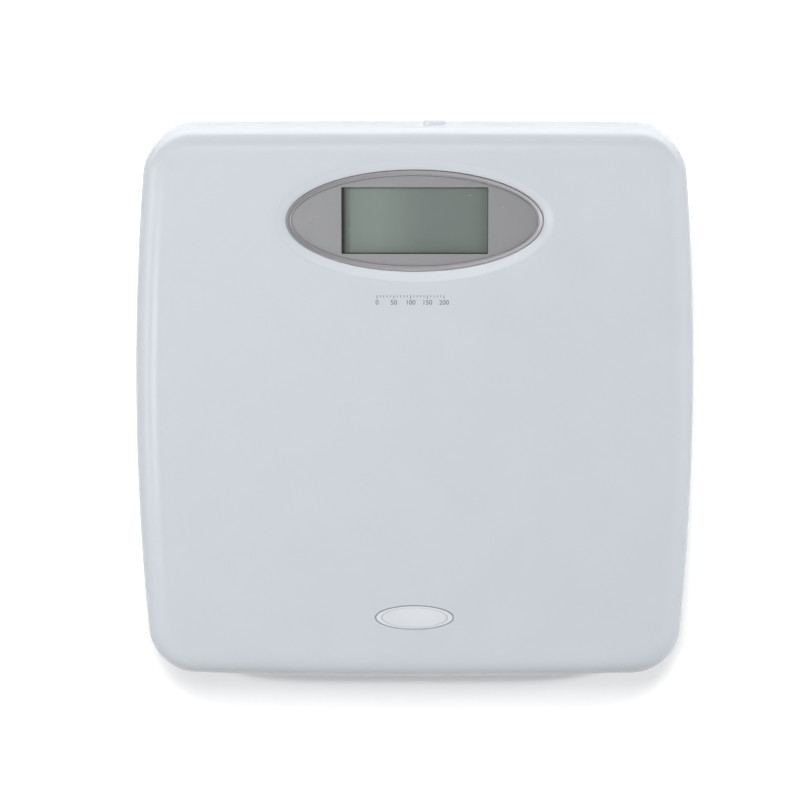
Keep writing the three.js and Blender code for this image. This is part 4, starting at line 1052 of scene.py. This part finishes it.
def polarizer_finish():
    material, tree, place, effect = start_finish(
        "polarizing_sheet", Grain=5200.0, Patch=25.0, Specular_IOR_Level=0.3,
    )
    parts = axes(tree, place)
    across = fade(tree, parts["X"], SHEET_LEFT * MM, SHEET_RIGHT * MM, kind="LINEAR")
    base = ramp(tree, across, *SHEET_COLOURS_AND_SHADE)
    # The sheet darkens towards its lower edge: painted shade.
    low_edge = BEZEL[0] - SHEET_HALF_WIDTH
    low = fade(tree, parts["Y"], low_edge * MM, (low_edge + SHADE_WIDTH) * MM, SHADE_STRENGTH, 0.0, "LINEAR")
    base = mix_colours(tree, low, base, srgb(74, 84, 77))
    speckle = maths(tree, "MULTIPLY", effect["Height"], SPECKLE_STRENGTH)
    base = mix_colours(tree, speckle, base, srgb(140, 150, 142))
    return end_finish(material, base, between(tree, effect["Tone"], 0.34, 0.42), effect["Height"], 1.5)


def display_block(left, right, half_width, low, high, round_over=0.1):
    return block((left, BEZEL[0] - half_width, low), (right, BEZEL[0] + half_width, high), round_over)


masked_glass = drifting(
    "masked_glass", srgb(26, 26, 27), srgb(32, 31, 30), 0.1, 0.18, Patch=30.0, Specular_IOR_Level=0.2,
)
ends = (-GLASS_HALF_LENGTH, GLASS_HALF_LENGTH)
lower_glass = display_block(*ends, GLASS_HALF_WIDTH, GLASS_LOW, GLASS_SEAM)
upper_glass = display_block(*ends, GLASS_HALF_WIDTH - GLASS_STEP, GLASS_SEAM - 1, SHEET_LOW)
glass = faced(combine(lower_glass, ("UNION", [upper_glass])))
add_piece(glass, "display_glass", masked_glass, ["lcd_module"])
sheet = display_block(SHEET_LEFT, SHEET_RIGHT, SHEET_HALF_WIDTH, SHEET_LOW, SHEET_HIGH, 0.04)
add_piece(sheet, "polarizer", polarizer_finish())

# %% [markdown]
# ## The small print
# A plain measuring scale is printed under the display: a row of ticks with numbers under every fifth one.
# Ink is a layer of its own, so the marks are thin raised solids, not a picture. The numbers come from Blender's
# own text object, which is turned into a mesh before it is put in place.

# %% Print the tick scale
PRINT_CENTRE_X = -2.4
TICK_ROW = 67.2
NUMBER_ROW = 61.7
TICK_COUNT = 21
TICK_PITCH = 1.95
TICK_BREADTH = 0.36
LONG_TICK = 2.0
SHORT_TICK = 1.2
TICKS_PER_NUMBER = 5
UNITS_PER_TICK = 10
INK_LOW = CASE_TOP - 0.02
INK_HIGH = CASE_TOP + 0.03
NUMBER_HEIGHT = 3.9
CURVE_STEPS = 4
LETTER_WELD = NUMBER_HEIGHT * MM / 4000


def printed_number(number, x):
    """A number as raised ink, centred on a place in the row of numbers."""
    letters = bpy.data.curves.new("letters", "FONT")
    letters.body = str(number)
    letters.size = NUMBER_HEIGHT * MM
    letters.align_x = "CENTER"
    letters.resolution_u = CURVE_STEPS
    carrier = bpy.data.objects.new("letters", letters)
    bm = bmesh.new()
    bm.from_mesh(carrier.to_mesh())
    carrier.to_mesh_clear()
    bpy.data.objects.remove(carrier)
    bpy.data.curves.remove(letters)
    bmesh.ops.remove_doubles(bm, verts=bm.verts, dist=LETTER_WELD)
    bmesh.ops.translate(bm, vec=metres((x, NUMBER_ROW, INK_LOW)), verts=bm.verts)
    draw_up(bm, bm.faces[:], INK_HIGH - INK_LOW)
    return faced(bm)


marks = []
for index in range(TICK_COUNT):
    x = PRINT_CENTRE_X + (index - (TICK_COUNT - 1) / 2) * TICK_PITCH
    numbered = index % TICKS_PER_NUMBER == 0
    tick_end = TICK_ROW - (LONG_TICK if numbered else SHORT_TICK)
    marks.append(block((x - TICK_BREADTH / 2, tick_end, INK_LOW), (x + TICK_BREADTH / 2, TICK_ROW, INK_HIGH)))
    if numbered:
        marks.append(printed_number(index * UNITS_PER_TICK, x))
printing_ink = drifting("printing_ink", srgb(74, 78, 86), srgb(92, 96, 104), 0.45, 0.6, Grain=3000.0, Patch=300.0)
add_piece(gather(*marks), "tick_scale", printing_ink)

# %% [markdown]
# ## The tray
# The tray is the moulded bottom of the case. The same eight-arc spin makes its pan, with a quarter round along
# the outer edge and a fine groove inside it. Then the towers, bosses and the battery bay are joined to the pan,
# and the wells, mouths and slots are cut out, in the order a toolmaker would think of them.
# Boolean modifiers do this work: they need closed solids, and each of these is one.

# %% Shape the tray
TRAY_BOTTOM = 6
TRAY_TOP = 8.5
TRAY_WALL_TOP = 17
TRAY_INSET = 3.5
TRAY_WALL = 2.5
TRAY_ROUND = 6
TRAY_ROUND_STEPS = 8
GROOVE = [(21.0, 6), (20.8, 6.15), (20.6, 6.5), (19.7, 6.5), (19.5, 6.15), (19.3, 6)]
FOOT_PLACES = [
    ("back_right", 120, 119.8), ("back_left", -120, 119.8),
    ("front_left", -120, -119.8), ("front_right", 120, -119.8),
]
MOUTH_EDGE = 0.5
LEAD_REACH = 18
BAY_LEAD_Y = 22.8
RIB_X = 75
TONGUE_Y = 18
ROUND_SEGMENTS = 96
PIN_SEGMENTS = 32
# Each rod: its radius and the heights it runs between
TOWERS = [(28, TRAY_BOTTOM, 16.5), (15, 15.5, 50.4)]
WELLS = [(25.5, TRAY_TOP, 14), (12.5, 16.5, 52)]
LEAD_HOLE = (2, 13, 17.5)
SCREW_TOWER = (5, TRAY_BOTTOM, 23.7)
SCREW_BORE = (2.1, 15, 25)
BAY_LEAD_HOLE = (2, 23.6, 27.6)
PIN = (4, 10.4, 15)
# Each flared bore: its radius and its top
FOOT_MOUTH = (24.1, 14)
SCREW_MOUTH = (4.2, 16)
# Each box: its length and width, and the heights it runs between
GUSSETS = [(56, 2, 8.5, 30.5), (2, 56, 8.5, 30.5)]
BAY_WALLS = [(67.9, 71.4, 6, 10.8), (61.1, 64.6, 6, 26.6)]
BAY_HOLLOWS = [(63.9, 67.4, 5, 8.3), (57.1, 60.6, 5, 24.6)]
RIB = (2, 120, 7.5, 18.5)
LATCH_SLOT = ((28, -7.4, 5), (33.55, 7.4, 13))
# Each box at a tongue: where it starts and ends along x and along z, and how far its edges are rounded over
TONGUE_SLOTS = [(-35.05, -27.55, 8.5, 12.4, 0), (-31.95, -27.55, 8, 9.5, 0)]
TONGUE_SLOT_HALF = 6.4


def tray_profile():
    points = list(GROOVE)
    for angle in quarter_turn(TRAY_ROUND_STEPS):
        inset = TRAY_INSET + TRAY_ROUND * (1 - math.sin(angle))
        points.append((inset, TRAY_BOTTOM + TRAY_ROUND * (1 - math.cos(angle))))
    wall = TRAY_INSET + TRAY_WALL
    points += [(TRAY_INSET, TRAY_WALL_TOP), (wall, TRAY_WALL_TOP), (wall, TRAY_BOTTOM + TRAY_ROUND)]
    return points + [(TRAY_INSET + TRAY_ROUND, TRAY_TOP)]


def pan():
    bm = bmesh.new()
    spin_case(bm, tray_profile())
    for height in (TRAY_BOTTOM, TRAY_TOP):
        bmesh.ops.edgeloop_fill(bm, edges=rim_edges(bm, height))
    return faced(bm)


def box_about(x, y, length, width, low, high, round_over=0.0):
    """An upright box with its middle at a point."""
    half_length, half_width = length / 2, width / 2
    return block((x - half_length, y - half_width, low), (x + half_length, y + half_width, high), round_over)


def flared_bore(radius, top, x, y):
    """A hole up from the tray's underside, with a small chamfer at its mouth."""
    mouth = radius + MOUTH_EDGE
    return turned([
        (0, TRAY_BOTTOM - 1), (mouth, TRAY_BOTTOM - 1), (mouth, TRAY_BOTTOM), (radius, TRAY_BOTTOM + MOUTH_EDGE),
        (radius, top), (0, top),
    ], x, y, ROUND_SEGMENTS)


def tower_solids(x, y):
    rods = [rod(*size, x, y, ROUND_SEGMENTS) for size in TOWERS]
    return rods + [box_about(x, y, *size) for size in GUSSETS]


def tower_cuts(x, y):
    lead_place = [value - math.copysign(LEAD_REACH * math.sqrt(0.5), value) for value in (x, y)]
    wells = [rod(*size, x, y, ROUND_SEGMENTS) for size in WELLS]
    return [flared_bore(*FOOT_MOUTH, x, y), *wells, rod(*LEAD_HOLE, *lead_place, BORE_SEGMENTS)]


def at_tongues(boxes, half_width):
    """Boxes at both tongues of the battery door."""
    return [block((left, middle - half_width, low), (right, middle + half_width, high), round_over)
            for middle in (-TONGUE_Y, TONGUE_Y) for left, right, low, high, round_over in boxes]


def bay_cuts():
    hollows = [box_about(0, 0, *size) for size in BAY_HOLLOWS]
    lead_hole = rod(*BAY_LEAD_HOLE, 0, BAY_LEAD_Y, BORE_SEGMENTS)
    return [*hollows, block(*LATCH_SLOT), lead_hole, *at_tongues(TONGUE_SLOTS, TONGUE_SLOT_HALF)]


print(len(tray_profile()), "points in the tray's profile")

# %% Build the tray
joined_on = [solid for _, x, y in FOOT_PLACES for solid in tower_solids(x, y)]
joined_on += [rod(*SCREW_TOWER, *place) for place in SCREW_PLACES]
joined_on += [box_about(0, 0, *size) for size in BAY_WALLS]
joined_on += [box_about(x, 0, *RIB) for x in (-RIB_X, RIB_X)]
cut_out = [solid for _, x, y in FOOT_PLACES for solid in tower_cuts(x, y)]
cut_out += [flared_bore(*SCREW_MOUTH, *place) for place in SCREW_PLACES]
cut_out += [rod(*SCREW_BORE, *place, BORE_SEGMENTS) for place in SCREW_PLACES]
cut_out += bay_cuts()
pins = [rod(*PIN, x, y, PIN_SEGMENTS) for _, x, y in FOOT_PLACES]
tray = combine(pan(), ("UNION", joined_on), ("DIFFERENCE", cut_out), ("UNION", pins))
add_piece(tray, "tray_shell", tray_plastic, ["base_tray"])

# %% [markdown]
# ## Feet
# Each foot is a moulded cup that slides a hair's breadth in its tower, with a rubber pad below. Both are turned
# about the foot's own axis, so one profile of each, spun, makes them: the cup with its lip and rounded lower edge,
# and the pad with grooves in its sole, which the real ones have for grip.

# %% Build the cups and pads
PAD_PROFILE = [
    (0, 0.35), (2.6, 0.35), (3.0, 0), (5.4, 0), (5.8, 0.7), (7.0, 0.7), (7.4, 0), (10.2, 0), (10.6, 0.7),
    (11.8, 0.7), (12.2, 0), (15.0, 0), (15.4, 0.7), (16.6, 0.7), (17.0, 0), (18.4, 0), (18.8, 0.2), (19, 0.6),
    (19, 2.2), (18.8, 2.45), (18.6, 2.5), (0, 2.5),
]
CUP_PROFILE = [
    (0, 2.8), (19.3, 2.8), (19.3, 1.8), (19.45, 1.55), (19.7, 1.5), (22.6, 1.5), (23.1, 1.62), (23.45, 1.95),
    (23.6, 2.5), (23.6, 8.8), (24.8, 8.8), (23.6, 10.3), (21.3, 10.3), (21.3, 7.3), (12.5, 7.3), (12.5, 5.3),
    (0, 5.3),
]

for label, x, y in FOOT_PLACES:
    for part, profile, finish in (("cup", CUP_PROFILE, cup_plastic), ("pad", PAD_PROFILE, foot_rubber)):
        solid = turned(profile, x, y, ROUND_SEGMENTS)
        add_piece(solid, f"{part}_{label}", finish, [f"foot_{part}_{label}"], f"foot_{label}_body")

# %% [markdown]
# ## The battery door
# The door is a thin moulded plate with two tongues at its hinge edge and a sprung latch opposite. A shallow round
# scoop with three bars marks where a thumb goes. The plate is drawn up from a rounded rectangle, its outer edge is
# rounded over, and the rest is joined on or cut out.

# %% Build the battery door
# Its length, width, corner radius, the heights it runs between upside down, and how far its edge is rounded over
DOOR_PLATE = (63.1, 66.6, 1.2, -8, -6, 0.4)
# Each box: its low and high corners, and how far its edges are rounded over
LATCH = [((30.15, -7, 7), (31.55, 7, 12), 0.2), ((30.3, -7, 10.6), (32.75, 7, 12), 0.3)]
TONGUES = [(-31.55, -30.55, 7, 10.2, 0.1), (-34.05, -30.6, 8.8, 10.2, 0.2)]
TONGUE_HALF = 6
SCOOP_X = 23.15
SCOOP = [(0, 5), (7.2, 5), (7.2, 6), (6.9, 6.06), (6.3, 6.35), (5.4, 6.62), (4, 6.8), (2, 6.88), (0, 6.9)]
SCOOP_SEGMENTS = 72
# Each bar: how far it is from the scoop's middle, and its length
BARS = [(-2.4, 6.8), (0, 9.2), (2.4, 6.8)]
BAR_BREADTH = 0.8
BAR_LEVELS = (6.25, 7.2)
BAR_EDGE = 0.2

plate = turn(rounded_block((0, 0), *DOOR_PLATE), math.pi, "X")
fittings = [block(*box) for box in LATCH] + at_tongues(TONGUES, TONGUE_HALF)
scoop = turned(SCOOP, SCOOP_X, 0, SCOOP_SEGMENTS)
bars = [box_about(SCOOP_X + away, 0, BAR_BREADTH, length, *BAR_LEVELS, BAR_EDGE) for away, length in BARS]
door = combine(plate, ("UNION", fittings), ("DIFFERENCE", [scoop]), ("UNION", bars))
add_piece(door, "battery_cover", door_plastic, ["battery_door"], "door_body")

# %% [markdown]
# ## Cells, screws and the unit button
# Cells and screws are turned parts: one profile of each serves for all its places. The screws get a cross recess,
# cut by two slim blocks. The unit button is drawn up from a rounded rectangle and laid back into the skirt; its
# flange keeps it from falling out, and its face is slightly dished for a fingertip.

# %% Build the cells
CELL_LEVEL = 15.85
CELL_PITCH = 15
CELL_PROFILE = [
    (0, -25.25), (5.6, -25.25), (5.9, -25.1), (6.6, -25.1), (7.05, -24.95), (7.25, -24.5), (7.25, 23.5),
    (7.05, 24.0), (6.6, 24.12), (6.0, 24.12), (5.7, 24.0), (3.6, 24.0), (3.0, 24.2), (2.75, 24.5),
    (2.7, 25.05), (2.5, 25.2), (2.2, 25.25), (0, 25.25),
]
STEEL_FROM = 24.05
BAND_FROM = 17


def cell_finish():
    """A printed plastic sleeve with bare steel at both ends."""
    material, tree, place, effect = start_finish("cell_sleeve", Grain=900.0, Patch=50.0)
    reach = maths(tree, "ABSOLUTE", axes(tree, place)["X"])
    steel = maths(tree, "GREATER_THAN", reach, STEEL_FROM * MM)
    band = maths(tree, "GREATER_THAN", reach, BAND_FROM * MM)
    base = tones(tree, effect["Tone"], srgb(70, 84, 104), srgb(78, 92, 112))
    base = mix_colours(tree, band, base, srgb(196, 199, 203))
    base = mix_colours(tree, steel, base, srgb(196, 196, 192))
    gloss = between(tree, effect["Tone"], 0.28, 0.36)
    return end_finish(material, base, gloss, effect["Height"], 4, Metallic=steel)


cell_sleeve = cell_finish()
for index in range(4):
    cell = turn(turned(CELL_PROFILE), math.pi / 2 * (-1) ** index, "Y")
    bmesh.ops.translate(cell, verts=cell.verts, vec=metres((0, (index - 1.5) * CELL_PITCH, CELL_LEVEL)))
    add_piece(cell, f"cell_{index + 1}", cell_sleeve, [f"battery_{index + 1}"])

# %% Build the screws
THREAD_PITCH = 0.9
THREAD_DEPTH = 0.3
# Each screw: its node's name, its places, where its head starts, its head's radius and height, its shank's
# radius and length, and its cross recess's length, breadth and depth
SCREWS = [
    ("case_screw", SCREW_PLACES, 15.7, 3.5, 2.6, 1.8, 22, 3.8, 0.9, 1.4),
    ("display_screw", DISPLAY_SCREW_PLACES, 42.3, 2.8, 1.8, 1.3, 9, 3, 0.7, 1),
]


def screw_solid(x, y, seat, head, depth, shank, length, cross_length, cross_breadth, cross_depth):
    """A pan head screw with its head down, seated under a level."""
    thread = []
    level = 1.0
    while level < length - 2 * shank:
        thread += [(shank, level), (shank - THREAD_DEPTH, level + 0.35), (shank, level + 0.7)]
        level += THREAD_PITCH
    profile = [
        (0, -depth), (head * 0.7, -depth), (head * 0.86, -depth * 0.9), (head * 0.96, -depth * 0.65),
        (head, -depth * 0.3), (head, 0), (shank, 0), *thread, (shank, length - shank), (0, length),
    ]
    body = turned([(radius, seat + height) for radius, height in profile], x, y, 48)
    recess = [box_about(x, y, *size, seat - depth - 1, seat - depth + cross_depth)
              for size in ((cross_length, cross_breadth), (cross_breadth, cross_length))]
    return combine(body, ("DIFFERENCE", recess))


for row, places, *sizes in SCREWS:
    for number, (x, y) in enumerate(places, 1):
        node = f"{row}_{number}"
        add_piece(screw_solid(x, y, *sizes), f"pan_head_{node}", screw_steel, [node])

# %% Build the unit button
# Length, width, corner radius, how far back it starts and ends, and how far its edge is rounded over
KEY = (13, 8, 2.5, 159.3, 166.4, 0.5)
FLANGE = (16, 11, 4, 159.3, 160.5)
STEM = (2.5, 156.9, 160)
THUMB_DISH = [(0, 166.1), (1.5, 166.14), (3, 166.27), (4.4, 166.5), (4.4, 168), (0, 168)]

key, flange = button_shaped(*KEY), button_shaped(*FLANGE)
stem = turn(rod(*STEM, BUTTON_X, -BUTTON_Z, PIN_SEGMENTS), -math.pi / 2, "X")
thumb_dish = turn(turned(THUMB_DISH, BUTTON_X, -BUTTON_Z), -math.pi / 2, "X")
button = combine(key, ("UNION", [flange, stem]), ("DIFFERENCE", [thumb_dish]))
add_piece(button, "unit_key", button_plastic, ["unit_button"], "button_body")

# %% [markdown]
# ## Finishes for the inner parts
# The parts inside the case keep their CAD shape, which is right for flat plates, blocks and bent strips. Each gets
# the finish that the real part has: galvanised steel, spring steel, a green circuit board with its copper tracks,
# black and white moulded plastic, and rubber.

# %% Finish the inner parts
TRACKS = {
    "Scale": 260.0, "Color1": WHITE, "Color2": (0.2, 0.2, 0.2, 1), "Mortar": (0, 0, 0, 1),
    "Mortar Size": 0.03, "Brick Width": 1.7, "Row Height": 0.4,
}
TRACK_LEVEL = 0.6


def board_finish():
    """A green circuit board: solder mask over tracks, which show as slightly raised paler lines."""
    material, tree, place, effect = start_finish("circuit_board", Patch=40.0, Coat_Weight=0.3, Coat_Roughness=0.2)
    bricks = add_node(tree, "TexBrick", {"Vector": place, **TRACKS})
    tracks = maths(tree, "GREATER_THAN", bricks["Color"], TRACK_LEVEL)
    base = tones(tree, effect["Tone"], srgb(28, 84, 56), srgb(34, 96, 64))
    base = mix_colours(tree, maths(tree, "MULTIPLY", tracks, 0.5), base, srgb(56, 128, 84))
    return end_finish(material, base, between(tree, effect["Tone"], 0.3, 0.4), tracks, 30)


lead_sleeve = moulded("lead_sleeve", srgb(54, 55, 58), 0.5, 1200.0, 20, drift=0.1)
corners = [label for label, _, _ in FOOT_PLACES]
INNER_FINISHES = {
    galvanised_steel: ["steel_deck", *(f"load_cell_{label}" for label in corners)],
    frame_plastic: ["lcd_frame", "lead_socket"],
    foot_rubber: ["lcd_connector_front", "lcd_connector_back"],
    board_finish(): ["main_board", "switch_board"],
    black_plastic: ["processor", "buzzer", "switch_plunger", "switch_body"],
    screw_steel: ["board_screw_1", "board_screw_2"],
    spring_steel: [
        "left_contact_front", "left_contact_back",
        "right_contact_middle", "right_contact_front", "right_contact_back",
    ],
    lead_sleeve: ["battery_lead", "switch_lead", *(f"cell_lead_{label}" for label in corners)],
}

for finish, nodes in INNER_FINISHES.items():
    for node in nodes:
        bpy.data.objects[node].material_slots[0].material = finish
print("inner parts finished:", sum(len(nodes) for nodes in INNER_FINISHES.values()))

# %% [markdown]
# ## Measure and finish
# The dressed model's box is printed here, beside the CAD model's box printed near the start.

# %% Print the sizes
visual_low, visual_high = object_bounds()
print_size("visual box", visual_low, visual_high)
